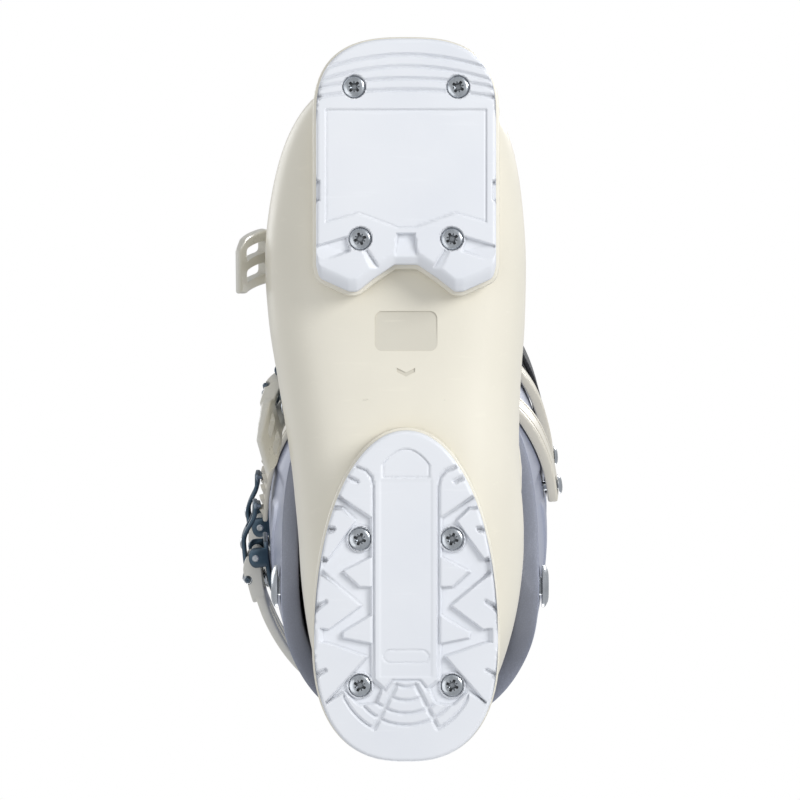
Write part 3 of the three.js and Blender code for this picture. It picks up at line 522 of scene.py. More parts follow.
def satin_paint(name, colour, shade):
    """Cuff plastic with a fine metallic flake under a satin coat."""
    look = Finish(name)
    flake = look.add("ShaderNodeTexVoronoi", {"Vector": look.place, "Scale": 1500.0})
    drift = look.noise(9, 3)
    base = look.blend(look.range(drift, 0.3, 0.7, 0, 1), colour, shade)
    glint = look.blend(look.range(flake.outputs["Distance"], 0.0, 0.5, 0.35, 0.0), base,
                       tinted(colour, 1.5))
    look.set(
        Base_Color=glint,
        Roughness=look.range(look.noise(70, 5), 0.3, 0.7, 0.3, 0.42),
        Normal=look.bump(look.noise(120, 3), 0.08, 0.2, look.bump(look.noise(1100, 1), 0.08, 0.05)),
        Metallic=0.25,
        Coat_Weight=0.3,
        Coat_Roughness=0.25,
    )
    return look.material


def metal(name, colour, roughness, wear):
    """Steel with fine drawn streaks, soft spots of tarnish, bright worn edges and painted shade deep
    in narrow recesses.
    """
    look = Finish(name)
    streaks = look.streaks((900, 60, 900), 3.0)
    tarnish = look.noise(260, 4, 0.6)
    base = look.blend(look.range(tarnish, 0.4, 0.75, 0, 0.6), colour, tinted(colour, 0.6))
    base = look.blend(look.math("MULTIPLY", look.edges(), 0.7), base, wear)
    # Painted shade: narrow recesses, such as a screw's cross, are darkened almost to black.
    base = look.blend(look.recess_shade(1.8), base, tinted(colour, 0.12))
    look.set(
        Base_Color=base,
        Metallic=1.0,
        Roughness=look.range(streaks, 0.3, 0.7, roughness - 0.06, roughness + 0.1),
        Normal=look.bump(streaks, 0.08, 0.05, look.bump(tarnish, 0.05, 0.1)),
    )
    return look.material


def woven_webbing(name, colour, light):
    """Strap webbing: a basket weave that follows the strap's own length and width."""
    look = Finish(name)
    place = look.add("ShaderNodeUVMap", uv_map="UVMap").outputs["UV"]
    parts = look.add("ShaderNodeSeparateXYZ", {"Vector": place})
    along = look.math("MULTIPLY", parts.outputs["X"], 2 * math.pi / 1.5)
    across = look.math("MULTIPLY", parts.outputs["Y"], 2 * math.pi / 1.1)
    weave = look.math("MULTIPLY", look.math("SINE", along), look.math("SINE", across))
    yarn = look.math("ADD", look.math("MULTIPLY", weave, 0.5), 0.5)
    fuzz = look.noise(1800, 2)
    tone = look.math("ADD", look.math("MULTIPLY", yarn, 0.7), look.math("MULTIPLY", fuzz, 0.3))
    look.set(
        Base_Color=look.blend(tone, colour, light),
        Roughness=look.range(fuzz, 0.3, 0.7, 0.75, 0.95),
        Normal=look.bump(yarn, 0.7, 0.25, look.bump(fuzz, 0.3, 0.1)),
        Sheen_Weight=0.25,
    )
    return look.material


def knit_fabric(name, colour, light, scale=620):
    """Liner cloth: a fine knit over foam, fuzzy, with slow shifts of shade."""
    look = Finish(name)
    cells = look.add("ShaderNodeTexVoronoi", {"Vector": look.place, "Scale": float(scale)})
    fibres = look.noise(2600, 2)
    shade = look.noise(22, 3)
    knit = look.range(cells.outputs["Distance"], 0.0, 0.6, 1.0, 0.0)
    tone = look.math("ADD", look.math("MULTIPLY", knit, 0.55), look.math("MULTIPLY", shade, 0.45))
    look.set(
        Base_Color=look.blend(tone, colour, light),
        Roughness=look.range(fibres, 0.3, 0.7, 0.82, 0.96),
        Normal=look.bump(knit, 0.5, 0.3, look.bump(fibres, 0.3, 0.08)),
        Sheen_Weight=0.35,
    )
    return look.material


LOOKS = {
    "sole": moulded_plastic("sole_white", srgb(237, 239, 243), srgb(228, 231, 237), 0.42, 1300),
    "shell": moulded_plastic("shell_cream", srgb(240, 235, 220), srgb(232, 227, 212), 0.36, 700,
                             coat=0.15, scuffs=0.2),
    "cuff": satin_paint("cuff_lavender", srgb(164, 170, 190), srgb(152, 158, 178)),
    "lever": moulded_plastic("lever_cream", srgb(232, 230, 222), srgb(222, 219, 208), 0.3, 1000,
                             coat=0.3),
    "ladder": moulded_plastic("ladder_cream", srgb(219, 214, 200), srgb(208, 203, 190), 0.38, 800),
    "link": metal("dark_steel", srgb(66, 84, 98), 0.34, wear=srgb(150, 160, 170)),
    "steel": metal("bright_steel", srgb(198, 203, 208), 0.22, wear=srgb(225, 228, 232)),
    "liner": knit_fabric("liner_knit", srgb(38, 41, 49), srgb(66, 70, 80)),
    "tongue": knit_fabric("tongue_cloth", srgb(52, 55, 64), srgb(84, 88, 98), 480),
    "board": moulded_plastic("board_grey", srgb(120, 122, 130), srgb(104, 106, 114), 0.6),
    "strap": woven_webbing("strap_webbing", srgb(14, 15, 18), srgb(44, 46, 52)),
    "patch": moulded_plastic("strap_patch", srgb(168, 38, 40), srgb(150, 30, 34), 0.5),
}


def wear_look(obj, look):
    obj.data.materials.clear()
    obj.data.materials.append(LOOKS[look])


def mount(obj, look, body, *nodes):
    """Gives a finished piece its look, its body and the CAD nodes that it stands for."""
    wear_look(obj, look)
    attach(obj, body)
    if nodes:
        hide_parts(*nodes)
    return obj


# ------------------------------------------------------------------ sole plates

def beside(x, y, line):
    """Distance from a line of straight pieces."""
    nearest = np.full(x.shape, np.inf)
    for (ax, ay), (bx, by) in zip(line, line[1:]):
        ex, ey = bx - ax, by - ay
        t = np.clip(((x - ax) * ex + (y - ay) * ey) / (ex * ex + ey * ey), 0, 1)
        nearest = np.minimum(nearest, np.hypot(x - ax - t * ex, y - ay - t * ey))
    return nearest


def inside(x, y, outline):
    """Distance into an outline: positive inside it, negative outside."""
    closed = (*outline, outline[0])
    within = np.zeros(x.shape, bool)
    for (ax, ay), (bx, by) in zip(closed, closed[1:]):
        if ay != by:
            within ^= ((ay > y) != (by > y)) & (x < (bx - ax) * (y - ay) / (by - ay) + ax)
    return np.where(within, 1, -1) * beside(x, y, closed)


def ledge(distance, slope=0.7):
    """0 outside an edge and 1 inside it, with a moulded slope between."""
    return smoothstep(distance, -slope / 2, slope / 2)


def groove(x, y, line, half_width, depth, slope=0.6):
    return depth * ledge(half_width - beside(x, y, line), slope)


def toe_front(x):
    half, nose = TOE_PLATE["width"] / 2, TOE_PLATE["nose"]
    return TOE_END + nose * (1 - np.maximum(1 - np.abs(x / half)**2.8, 0)**(1 / 2.8))


TOE_REAR_EDGE = ((0, 88.9), (4.6, 88.9), (13, 94.5), (19.4, 99.6), (22.6, 99.6), (33.6, 94.6),
                 (35, 92.8), (35.5, 88))


def toe_rear(x):
    edge_x, edge_y = np.array(TOE_REAR_EDGE).T
    fine = np.linspace(-36, 36, 721)
    smooth = smoothed(np.interp(np.abs(fine), edge_x, edge_y), 12)
    return TOE_END + np.interp(x, fine, smooth)


def heel_front(x):
    half = HEEL_PLATE["width"] / 2
    widest = HEEL_PLATE["widest"] * HEEL_PLATE["length"]
    rise = np.maximum(1 - np.abs(x / half)**2.05, 0)**(1 / 2.05)
    return HEEL_END - widest - (HEEL_PLATE["length"] - widest) * rise


def heel_rear(x):
    half = HEEL_PLATE["width"] / 2
    widest = HEEL_PLATE["widest"] * HEEL_PLATE["length"]
    return HEEL_END - widest + widest * np.maximum(1 - np.abs(x / half)**2.5, 0)**(1 / 2.5)


# Outlines seen from below, (x, y). Those used for both halves are given for one side.
TOE_PAD = ((31.6, -114.3), (31.6, -70.2), (19.1, -73.8), (3.4, -68.0), (-3.4, -68.0),
           (-19.1, -73.8), (-31.6, -70.2), (-31.6, -114.3))
TOE_SIDE_CUT = ((34.0, -86.2), (37, -87), (37, -77.6), (34.0, -78.6))
TOE_OUTER_LUG = ((37, -60.2), (22.2, -64.6), (22.2, -58.6), (37, -53.4))
TOE_INNER_LUG = ((15.6, -60.0), (9.6, -50.6), (12.8, -48.6), (17.0, -58.6))
TOE_CHANNEL = ((-3.5, -65.6), (3.5, -65.6), (5.2, -52), (-5.2, -52))
TOE_RIBS = ((6.6, 5.6), (11.2, 5.2), (15.9, 3.2), (20.3, 2.6))
HEEL_FLOOR = ((27.2, 37.6), (14.0, 46.4), (13.4, 110.2), (9.2, 113.6), (11.5, 119.5),
              (18.5, 120.2), (24.4, 114.8), (31.4, 119.4), (33.2, 112), (34.0, 96), (33.6, 66),
              (29.6, 44))
HEEL_LUGS = (
    ((37, 42.4), (24.9, 42.6), (19.9, 47.5), (30.9, 63.0), (37, 62)),
    ((37, 66.0), (33.4, 67.8), (17.6, 81.0), (30.5, 90.5), (37, 89.5)),
    ((37, 95.2), (31.0, 95.6), (15.3, 101.0), (31.6, 119.4), (37, 117)),
    ((12.6, 61.2), (25.1, 67.5), (18.4, 73.7), (12.6, 73.7)),
    ((12.6, 84.0), (25.1, 91.4), (24.8, 93.8), (12.6, 96.2)),
)
HEEL_BORDER = ((19.6, 26.4), (15.6, 28.0), (13.5, 30.4), (12.8, 34.0), (12.8, 110.4), (8.4, 114.2))
HEEL_NICKS = (((23.6, 30.1), (19.2, 32.2)), ((33.5, 50.8), (28.4, 51.0)),
              ((36, 82.4), (31.6, 79.6)), ((36, 108.8), (31.8, 106.4)))
HEEL_STEP = ((8.4, 114.0), (5.4, 110.4), (-5.4, 110.4), (-8.4, 114.0))
FAN_CENTRE, FAN_REACH = 105.6, 27.6
FAN_SPOKE = ((4.0, 112.4), (12.4, 128.9))


def toe_relief(x, y):
    """How deep the toe plate's underside lies above the ground, away from its rim."""
    side = np.abs(x)
    cuts = []
    for start, droop in TOE_RIBS:
        middle = TOE_END + start + droop * (x / 33)**2
        cuts.append(1.1 * ledge(0.62 - np.abs(y - middle), 0.8))
    into_pad = inside(x, y, TOE_PAD)
    cuts.append(0.55 * ledge(into_pad, 0.7))
    cuts.append(0.8 * ledge(0.45 - np.abs(into_pad - 0.2), 0.5))
    cuts.append(3.2 * ledge(inside(side, y, TOE_SIDE_CUT), 0.7))
    # Rear lugs: ramps that are deep along one edge and run out to the face at the other.
    fall = np.clip((-54.6 - 0.32 * (side - 30) - y) / 6.2, 0, 1)
    cuts.append(2.6 * fall * ledge(inside(side, y, TOE_OUTER_LUG), 0.7))
    run = np.clip((side - lerp(8.6, 14.6, (-50 - y) / 10)) / 4.6, 0, 1)
    cuts.append(2.2 * (1 - run) * ledge(inside(side, y, TOE_INNER_LUG), 0.7))
    sink = np.clip((-54.5 - y) / 10, 0, 1)
    cuts.append((0.7 + 2.2 * sink) * ledge(inside(x, y, TOE_CHANNEL), 0.7))
    bevel = np.clip((y - (toe_rear(x) - 5.2)) / 5.2, 0, 1)
    return np.maximum.reduce([*cuts, 3.4 * bevel**1.4])


def heel_relief(x, y):
    """How deep the heel plate's underside lies above the ground, away from its rim."""
    side = np.abs(x)
    low = ledge(inside(side, y, HEEL_FLOOR), 0.8)
    for lug in HEEL_LUGS:
        low = np.minimum(low, 1 - ledge(inside(side, y, lug), 0.8))
    rim = ledge(side - (HEEL_PLATE["width"] / 2 - 3.2), 1.0)
    cuts = [2.3 * low * (1 - 0.55 * rim)]
    cuts.append(groove(side, y, HEEL_BORDER, 0.55, 1.2))
    cuts.append(0.35 * ledge(10.3 - side, 0.5) * ledge(y - 31, 3) * ledge(109 - y, 1))
    for line in HEEL_NICKS:
        cuts.append(groove(side, y, line, 0.7, 1.3, 0.8))
    dome = np.minimum(9.3 - side, np.minimum(30.6 - y, y - (19.2 + 6.2 * (side / 9.3)**2)))
    bar = 2.7 - np.hypot(np.maximum(side - 6.4, 0), y - 101)
    for badge in (dome, bar):
        cuts.append(0.5 * ledge(badge, 0.7))
        cuts.append(0.75 * ledge(0.4 - np.abs(badge - 0.3), 0.4))
    cuts.append(groove(x, y, HEEL_STEP, 0.5, 0.9))
    (near_x, near_y), (far_x, far_y) = FAN_SPOKE
    radius = np.hypot(x, y - FAN_CENTRE)
    spoke_x = lerp(near_x, far_x, np.clip((y - near_y) / (far_y - near_y), 0, 1))
    centre_fan = (side < spoke_x) & (y > 110.8)
    side_fan = (side >= spoke_x) & (y > 113.5) & (side < 24.5)
    for ring, where in ((7.4, centre_fan), (12.7, centre_fan), (17.8, centre_fan | side_fan),
                        (22.4, centre_fan | side_fan), (27.0, side_fan)):
        arc = 1.15 * ledge(0.55 - np.abs(radius - ring), 0.8)
        cuts.append(arc * where * ledge(FAN_REACH - radius, 1.0))
    cuts.append(groove(side, y, FAN_SPOKE, 0.8, 1.3, 0.8))
    return np.maximum.reduce(cuts)


PLATES = (
    {**TOE_PLATE, "name": "toe", "front": toe_front, "rear": toe_rear, "relief": toe_relief,
     "screws": TOE_SCREWS},
    {**HEEL_PLATE, "name": "heel", "front": heel_front, "rear": heel_rear,
     "relief": heel_relief, "screws": HEEL_SCREWS},
)


def sole_plate(plate, cells=0.42):
    """A plate whose underside is a fine relief, with a rounded rim, straight walls and a top."""
    half, thickness = plate["width"] / 2, plate["thickness"]
    front, rear = plate["front"], plate["rear"]
    longest = float(rear(np.zeros(1))[0] - front(np.zeros(1))[0])
    count_x = int(2 * half / cells)
    count_y = int(max(longest, 100) / cells)
    linear = np.linspace(-1, 1, count_x + 1)
    share = lerp(linear, np.sin(linear * math.pi / 2), 0.45) * 0.9995
    x = np.repeat((half * share)[:, None], count_y + 1, 1)
    along = np.linspace(0, 1, count_y + 1)
    y = front(x) + (rear(x) - front(x)) * along[None, :]
    depth = plate["relief"](x, y)
    for screw_x, screw_y in plate["screws"]:
        away = np.hypot(np.abs(x) - screw_x, y - screw_y)
        depth = np.where(away < SCREW_HEAD + 2.2,
                         np.minimum(depth, 0.9 + 9 * ledge(away - SCREW_HEAD - 1.4, 1.4)), depth)
        depth = np.maximum(depth, 3.2 * ledge(SCREW_HEAD + 0.35 - away, 0.3))
    index = np.arange(x.size).reshape(x.shape)
    loop = np.concatenate([index[:-1, 0], index[-1, :-1], index[:0:-1, -1], index[0, :0:-1]])
    edge = KDTree(len(loop) * 2)
    loop_xy = np.stack([x.ravel()[loop], y.ravel()[loop]], -1)
    for i, (point, following) in enumerate(zip(loop_xy, np.roll(loop_xy, -1, 0))):
        middle = (point + following) / 2
        edge.insert((*point, 0), 2 * i)
        edge.insert((*middle, 0), 2 * i + 1)
    edge.balance()
    rim = 1.6
    distance = np.array([edge.find((a, b, 0))[2] for a, b in zip(x.ravel(), y.ravel())])
    fall = np.clip(rim - distance, 0, rim).reshape(x.shape)
    depth = np.maximum(depth, rim - np.sqrt(rim**2 - fall**2))
    bottom = np.stack([x, y, depth], -1).reshape(-1, 3)
    quads = np.stack([index[:-1, :-1], index[:-1, 1:], index[1:, 1:], index[1:, :-1]], -1)
    faces = quads.reshape(-1, 4).tolist()
    points, below = [bottom], loop
    for inset, height in ((0, thickness - 0.5), (0.35, thickness)):
        ring = bottom[loop].copy()
        ring[:, 0] *= 1 - inset / half
        ring[:, 2] = np.maximum(height, ring[:, 2])
        above = np.arange(len(loop)) + sum(len(p) for p in points)
        points.append(ring)
        faces += np.stack([below, np.roll(below, -1), np.roll(above, -1), above], -1).tolist()
        below = above
    faces.append(below.tolist())
    return new_object(f"{plate['name']}_plate", np.vstack(points), faces, crease=50)


def outline_of(plate, spread, count=60):
    """The plate's outline as (x, y) points, anticlockwise, moved outward by a spread."""
    share = np.sin(np.linspace(-math.pi / 2, math.pi / 2, count)) * 0.9995
    x = plate["width"] / 2 * share
    there = np.stack([x, plate["front"](x)], -1)
    back = np.stack([x, plate["rear"](x)], -1)[::-1]
    outline = np.vstack([there, back])
    ahead = np.roll(outline, -1, 0) - np.roll(outline, 1, 0)
    outward = np.stack([ahead[:, 1], -ahead[:, 0]], -1)
    outward /= np.linalg.norm(outward, axis=1)[:, None] + 1e-9
    return outline + outward * spread


def both_sides(pairs):
    for x, y in pairs:
        yield "lateral", Vector((-x, y, 0))
        yield "medial", Vector((x, y, 0))


def sole_screw(name, at):
    """A pan head with a cross recess and the four fine marks between its wings."""
    head = turned(name, (
        (2.4, 8), (2.4, 4), (SCREW_HEAD, 4), (SCREW_HEAD, 1.75), (SCREW_HEAD - 0.25, 1.35),
        (SCREW_HEAD - 0.8, 1.1), (SCREW_HEAD - 1.6, 1.0), (0.6, 1.0),
    ), at, (0, 0, 1), 48)
    cutters = []
    for k in range(2):
        wing = rounded_box("wing", (0, 0, 1.5), (5.0, 1.15, 2.6), 0.4)
        star = rounded_box("star", (0, 0, 0.9), (4.4, 0.45, 1.0), 0.2)
        wing.data.transform(Matrix.Rotation(k * math.pi / 2, 4, "Z"))
        star.data.transform(Matrix.Rotation(math.pi / 4 + k * math.pi / 2, 4, "Z"))
        cutters += [wing, star]
    profile = ((0.05, 0.2), (1.9, 0.2), (1.0, 2.6), (0.05, 2.6))
    cutters.append(turned("well", profile, (0, 0, 0), (0, 0, 1), 24))
    tilt = Matrix.Rotation(math.radians(37 * at.x + 11 * at.y), 4, "Z")
    for cutter in cutters:
        cutter.data.transform(Matrix.Translation(at * MM) @ tilt)
    return combine(head, cutters, crease=30)


def build_soles():
    for plate in PLATES:
        mount(sole_plate(plate), "sole", "shell", f"{plate['name']}_sole")
    for plate in PLATES:
        name = plate["name"]
        for i, (side, at) in enumerate(both_sides(plate["screws"])):
            end = ("front", "rear")[i // 2]
            screw = sole_screw(f"{name}_cross_screw_{end}_{side}", at)
            mount(screw, "steel", "shell", f"{name}_screw_{end}_{side}")


# ------------------------------------------------------------------ shell and cuff

SEGMENTS = 288


def ring_angles(count=SEGMENTS):
    return 2 * math.pi * (np.arange(count) + 0.5) / count


def lip(share_count=9, squareness=0.6):
    """Steps over a rounded edge: share of the way to the inner wall, and rise of the edge."""
    turn = np.linspace(0, math.pi, share_count)
    across = (1 - np.cos(turn)) / 2
    return list(zip(across[1:-1], np.sin(turn[1:-1])**squareness))


def add_depth(grow, depth):
    return {key: (value if key == "cuff" else value - depth) for key, value in grow.items()}


def carved(at, angles, surface, relief):
    """Rings of a surface pushed in by a relief, which reads depths from the smooth points."""
    at, angles = np.broadcast_arrays(at, angles)
    smooth = form(at, angles, **surface(at))
    return form(at, angles, **add_depth(surface(at), relief(smooth)))


def over_edge(outer, inner, at, angles, rise, slope=0.0):
    """Rings over a rounded edge from the outer wall to the inner one, which lies farther on."""
    rings = []
    for across, up in lip():
        place = at + rise * up + slope * across
        rings.append(form(place, angles, **between(outer, inner, place, across)))
    return rings


def walled_sock(name, outer, inner, top, rows, relief):
    """A sock with a wall, open at its top edge and closed at its toe."""
    angles = ring_angles()
    high = place_at_height(outer, angles, top, 4, LAST)
    share = np.linspace(0, 1, rows)[:, None]
    rings = [*carved(high * share, angles, outer, relief)]
    rings += over_edge(outer, inner, high, angles, 0.05)
    for share in np.linspace(1, 0, rows // 3):
        at = NOSE + (high - NOSE) * share
        rings.append(form(at, angles, **inner(at)))
    return skin(name, rings, crease=42)


def walled_tube(name, outer, inner, bottom, top, rows, relief, fill, flange):
    """A tube with a wall, open at both ends. fill gives the inner wall at a share of its height,
    and the flange is how much farther up than the outer wall the inner one begins."""
    angles = ring_angles()
    low = place_at_height(outer, angles, bottom, ANKLE - 2, LAST)
    high = place_at_height(outer, angles, top, ANKLE, LAST)
    share = np.linspace(0, 1, rows)[:, None]
    rings = [*carved(low + (high - low) * share, angles, outer, relief)]
    rings += over_edge(outer, inner, high, angles, 0.14)
    for share in np.linspace(1, 0, rows // 2):
        at = low + flange + (high - low - flange) * share
        rings.append(form(at, angles, **fill(at, share, angles)))
    rings += reversed(over_edge(outer, lambda at: fill(at, 0, angles), low, angles, -0.1, flange))
    return skin(name, rings, endless=True, crease=42)


def degrees_round(angles):
    """Angle around the form in degrees: 0 at the shin, positive medial, negative lateral."""
    return (np.degrees(angles) + 180) % 360 - 180


def step_line(distance, depth, width=1.6):
    """A moulded groove along the zero line of a distance."""
    return depth * ledge(width / 2 - np.abs(distance), 0.9)


SHELL_FLANK = ((-52, 56), (-20, 52), (30, 50), (66, 55), (84, 74), (70, 88), (40, 84), (0, 76),
               (-40, 68))
CUFF_FLANK = ((38, 134), (62, 124), (92, 134), (104, 160), (97, 232), (84, 258), (52, 250),
              (34, 214), (30, 160))
CUFF_WEDGES = (
    ((46, 146), (88, 152), (92, 166), (42, 158)),
    ((44, 190), (90, 198), (88, 212), (40, 202)),
)


def shell_relief(points):
    """Moulded lines of the lower shell, as depth below its smooth surface."""
    x, y, z = np.moveaxis(points, -1, 0)
    upper = ledge(z - 47, 5)
    over_foot = ledge(y + 76, 3) * ledge(z - 62, 4)
    flap = x - 6 - 0.04 * (y + 30)
    depth = 2.2 * ledge(flap, 1.3) * over_foot * np.exp(-np.maximum(flap, 0) / 22)
    depth -= 0.9 * ledge(-flap, 1.3) * over_foot * np.exp(-np.maximum(-flap, 0) / 26)
    cap = y + 74 + 0.012 * x**2 - 0.12 * (z - 50)
    depth += step_line(cap, 1.3, 2.2) * upper
    depth -= 0.7 * ledge(-cap, 2.0) * upper * ledge(cap + 40, 40)
    for k in range(3):
        fin = y + 92 + 7 * k + 0.010 * x**2
        depth += step_line(fin, 0.8, 1.8) * ledge(np.abs(x) - 27, 3) * ledge(z - 50, 2)
    flank = inside(y, z, SHELL_FLANK)
    side = ledge(np.abs(x) - 30, 6)
    depth += 1.3 * ledge(flank, 2.2) * side
    depth += step_line(flank - 5, 0.5, 1.4) * side
    heel = z - 62 - 0.35 * (y - 96)
    depth += step_line(heel, 0.9, 2.0) * ledge(y - 88, 3)
    depth += step_line(heel - 7, 0.6, 1.6) * ledge(y - 94, 3)
    collar = collar_height(y) - z
    depth -= 0.9 * ledge(5 - collar, 2.0) * ledge(z - 96, 4) * ledge(88 - y, 8)
    return depth


def cuff_relief(points):
    """Moulded lines of the cuff: front overlap, flanks with ribs, spine and rolled rims."""
    x, y, z = np.moveaxis(points, -1, 0)
    front = ledge(10 - y, 8)
    flap = x - 8
    depth = 2.4 * ledge(flap, 1.3) * front * np.exp(-np.maximum(flap, 0) / 24)
    depth -= 0.8 * ledge(-flap, 1.3) * front * np.exp(-np.maximum(-flap, 0) / 30)
    flank = inside(y, z, CUFF_FLANK)
    side = ledge(np.abs(x) - 34, 6)
    depth += 1.2 * ledge(flank, 2.4) * side
    for wedge in CUFF_WEDGES:
        depth -= 0.9 * ledge(inside(y, z, wedge), 1.8) * side
    spine = 15 - 0.02 * (z - 100) - np.abs(x)
    back = ledge(y - 84, 4)
    depth -= 1.3 * ledge(spine, 1.8) * back
    depth += step_line(spine + 2.2, 1.1, 2.0) * back
    for k in range(5):
        rib = z - 128 - 9 * k
        depth += step_line(rib, 0.9, 2.4) * ledge(9 - np.abs(x), 2) * back
    lower = z - table_height(CUFF_LOWER)(y)
    depth += 0.9 * ledge(2.6 - lower, 3.0)
    depth += step_line(lower - 7.5, 0.8, 1.6)
    upper = table_height(CUFF_UPPER)(y) - z
    depth += step_line(upper - 6, 0.8, 1.6)
    return depth


def cuff_fill(at, share, angles):
    """The cuff's inner wall, which thickens toward the shell beside the ankle."""
    behind = smoothstep(np.abs(degrees_round(angles)), 46, 74)
    full = (1 - smoothstep(share, 0.14, 0.26)) * behind
    wall = cuff_inside(at)
    snug = {"back": CUFF_GAP_BACK, "front": CUFF_GAP_FRONT, "side": 3.0, "cuff": 0}
    return {key: lerp(wall[key], snug[key], full) for key in wall}


def lug_block(plate):
    """The shell's own block above a sole plate, a little wider than the plate."""
    block = prism("lug_block", outline_of(plate, plate["margin"]),
                  plate["thickness"] + SEAT_GAP, plate["lug"])
    return bevelled(block, 0.9, 2, 60)


def footprint(height, first, last):
    """The shell's outline, seen from above, at a height on its lower half."""
    angles = np.linspace(0.02, math.pi - 0.02, 200)
    medial, lateral = [], []
    for at in np.linspace(first, last, 70):
        at = np.array(at)
        for angle, found in ((angles, medial), (-angles, lateral)):
            x, y, z = form(at, angle, **shell_outside(at)).T
            if z.min() < height < z.max():
                found.append((np.interp(height, z[::-1], x[::-1]),
                              np.interp(height, z[::-1], y[::-1])))
    return medial + lateral[::-1]


def upright_foot(plate):
    """A wall that stands on a lug, under the overhang of the toe or the heel."""
    bottom, top = plate["lug"] - 1, plate["foot_top"]
    wall = prism("upright_foot", footprint(top, *plate["foot_sections"]), bottom, top)
    limit = prism("limit", outline_of(plate, -FOOT_INSET), bottom - 1, top + 1)
    return combine(wall, [limit], "INTERSECT")


def build_shell():
    shell = walled_sock("lower_shell_body", shell_outside, shell_inside, collar_height,
                        300, shell_relief)
    cavity_at = np.linspace(NOSE, SHAFT, 60)
    angles = ring_angles(72)
    blocks = [make(plate) for make in (lug_block, upright_foot) for plate in PLATES]
    for block in blocks:
        cavity = skin("cavity", [form(at, angles, **shell_inside(at, -0.4)) for at in cavity_at])
        combine(block, [cavity])
    combine(shell, blocks, "UNION", crease=38)
    combine(shell, size_marks(), crease=38)
    mount(shell, "shell", "shell", "lower_shell")


def size_marks():
    """Shallow blank marks under the arch: a plate for the size, a chevron and two end ticks."""
    marks = [rounded_box("size_plate", (0, -27.5, 17.0), (25, 16, 5.4), 3)]
    chevron = ((-3.6, -11.2), (0, -9.4), (3.6, -11.2), (3.6, -12.8), (0, -11), (-3.6, -12.8))
    marks.append(prism("chevron", chevron, 10, 20.2))
    for x in (-19.8, 19.8):
        marks.append(rounded_box("tick", (x, 0, 17.8), (9.5, 0.8, 5.4), 0.35))
    return marks


def build_cuff():
    cuff = walled_tube("cuff_body", cuff_outside, cuff_inside, rounded_height(CUFF_LOWER, 7),
                       rounded_height(CUFF_UPPER, 10), 200, cuff_relief, cuff_fill, 0.3)
    mount(cuff, "cuff", "cuff", "cuff")


# ------------------------------------------------------------------ liner and tongue

# The quilting's pitch is counted in sections along the form.
QUILT_PITCH = 1.5
TONGUE_GAP = {"centre": (0, -74, 250), "size": (49.2, 200, 190), "corner": 3}
TONGUE_HALF = 23.4


def quilting(at, angles):
    """Sewn channels of the liner: rings around the ankle and lines up the shaft."""
    around = degrees_round(angles)
    rise = (at + 0.35 * np.cos(2 * angles)) % QUILT_PITCH
    above_ankle = ledge(at - 11, 1)
    sewn = 1.3 * np.exp(-((rise - QUILT_PITCH / 2) / 0.07)**2)
    upright = 1.2 * np.exp(-((np.abs(around) - 118) / 2.2)**2)
    puff = 0.5 * np.cos(2 * math.pi * rise / QUILT_PITCH)
    return (sewn + puff) * above_ankle + upright


def liner_inner(at):
    return liner_outside(at, LINER_WALL)


def raised_floor(points, height):
    points = np.array(points)
    points[..., 2] = np.maximum(points[..., 2], height)
    return points


def build_liner():
    angles = ring_angles(96)
    top = rounded_height(LINER_TOP, 12)
    high = place_at_height(liner_outside, angles, top, 12, LAST)
    rings, floor = [], BOARD_TOP + SOFT_GAP
    for share in np.linspace(0, 1, 110):
        at = NOSE + (high - NOSE) * share
        grow = add_depth(liner_outside(at), 0.2 + quilting(at, angles))
        rings.append(raised_floor(form(at, angles, **grow), floor))
    for across, rise in lip(13, 0.8):
        at = high + 0.2 * rise
        rings.append(form(at, angles, **between(liner_outside, liner_inner, at, across)))
    for share in np.linspace(1, 0, 60):
        at = 1 + (high - 1) * share
        rings.append(raised_floor(form(at, angles, **liner_inner(at)), floor + LINER_SOLE))
    liner = skin("liner_boot", rings, crease=60)
    gap = rounded_box("tongue_gap", TONGUE_GAP["centre"], TONGUE_GAP["size"], TONGUE_GAP["corner"])
    combine(liner, [gap], crease=60)
    wear_look(liner, "liner")
    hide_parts("liner_foot", "liner_shaft")
    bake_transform(liner)


def build_tongue():
    """A padded tongue with rounded edges and a stitched channel down its middle."""
    shin = np.linspace(13.3, 18.8, 60)
    rings = []
    count = 40
    turn = 2 * math.pi * (np.arange(count) + 0.5) / count
    for step, at in enumerate(shin):
        share = step / (len(shin) - 1)
        end = min(1.0, math.sin(math.pi * min(1, (1 - share) * 5) / 2) + 0.02)
        start = min(1.0, math.sin(math.pi * min(1, share * 8) / 2) + 0.05)
        half = TONGUE_HALF * end**0.5
        x = half * np.sign(np.cos(turn)) * np.abs(np.cos(turn))**0.55
        through = np.sign(np.sin(turn)) * np.abs(np.sin(turn))**0.7
        outer = liner_outside(np.array(at))
        front = float(outer["front"])
        row = columns(np.array(at))
        width = float(lerp(row[4], row[6], outer["cuff"]) + outer["side"])
        length = float(np.hypot(row[2] - row[0], row[3] - row[1]))
        reach = (length + float(outer["back"]) + front) / 2
        bow = reach * (1 - (1 - np.clip(np.abs(x) / width, 0, 0.99)**2.3)**(1 / 2.3))
        seam = 0.9 * np.exp(-(x / 1.3)**2) + 0.7 * np.exp(-((np.abs(x) - 13) / 1.2)**2)
        thick = (LINER_WALL - 0.8) * (end * start)**0.4
        lift = front - 0.4 - bow - (LINER_WALL / 2) + through * thick / 2 - seam * (through > 0)
        back_y, back_z, front_y, front_z = row[:4]
        across_y, across_z = (front_y - back_y) / length, (front_z - back_z) / length
        rings.append(np.stack([x, front_y + across_y * lift, front_z + across_z * lift], -1))
    tongue = skin("tongue_pad", rings, crease=70)
    mount(tongue, "tongue", "cuff", "liner_tongue")


# ------------------------------------------------------------------ girths and buckles

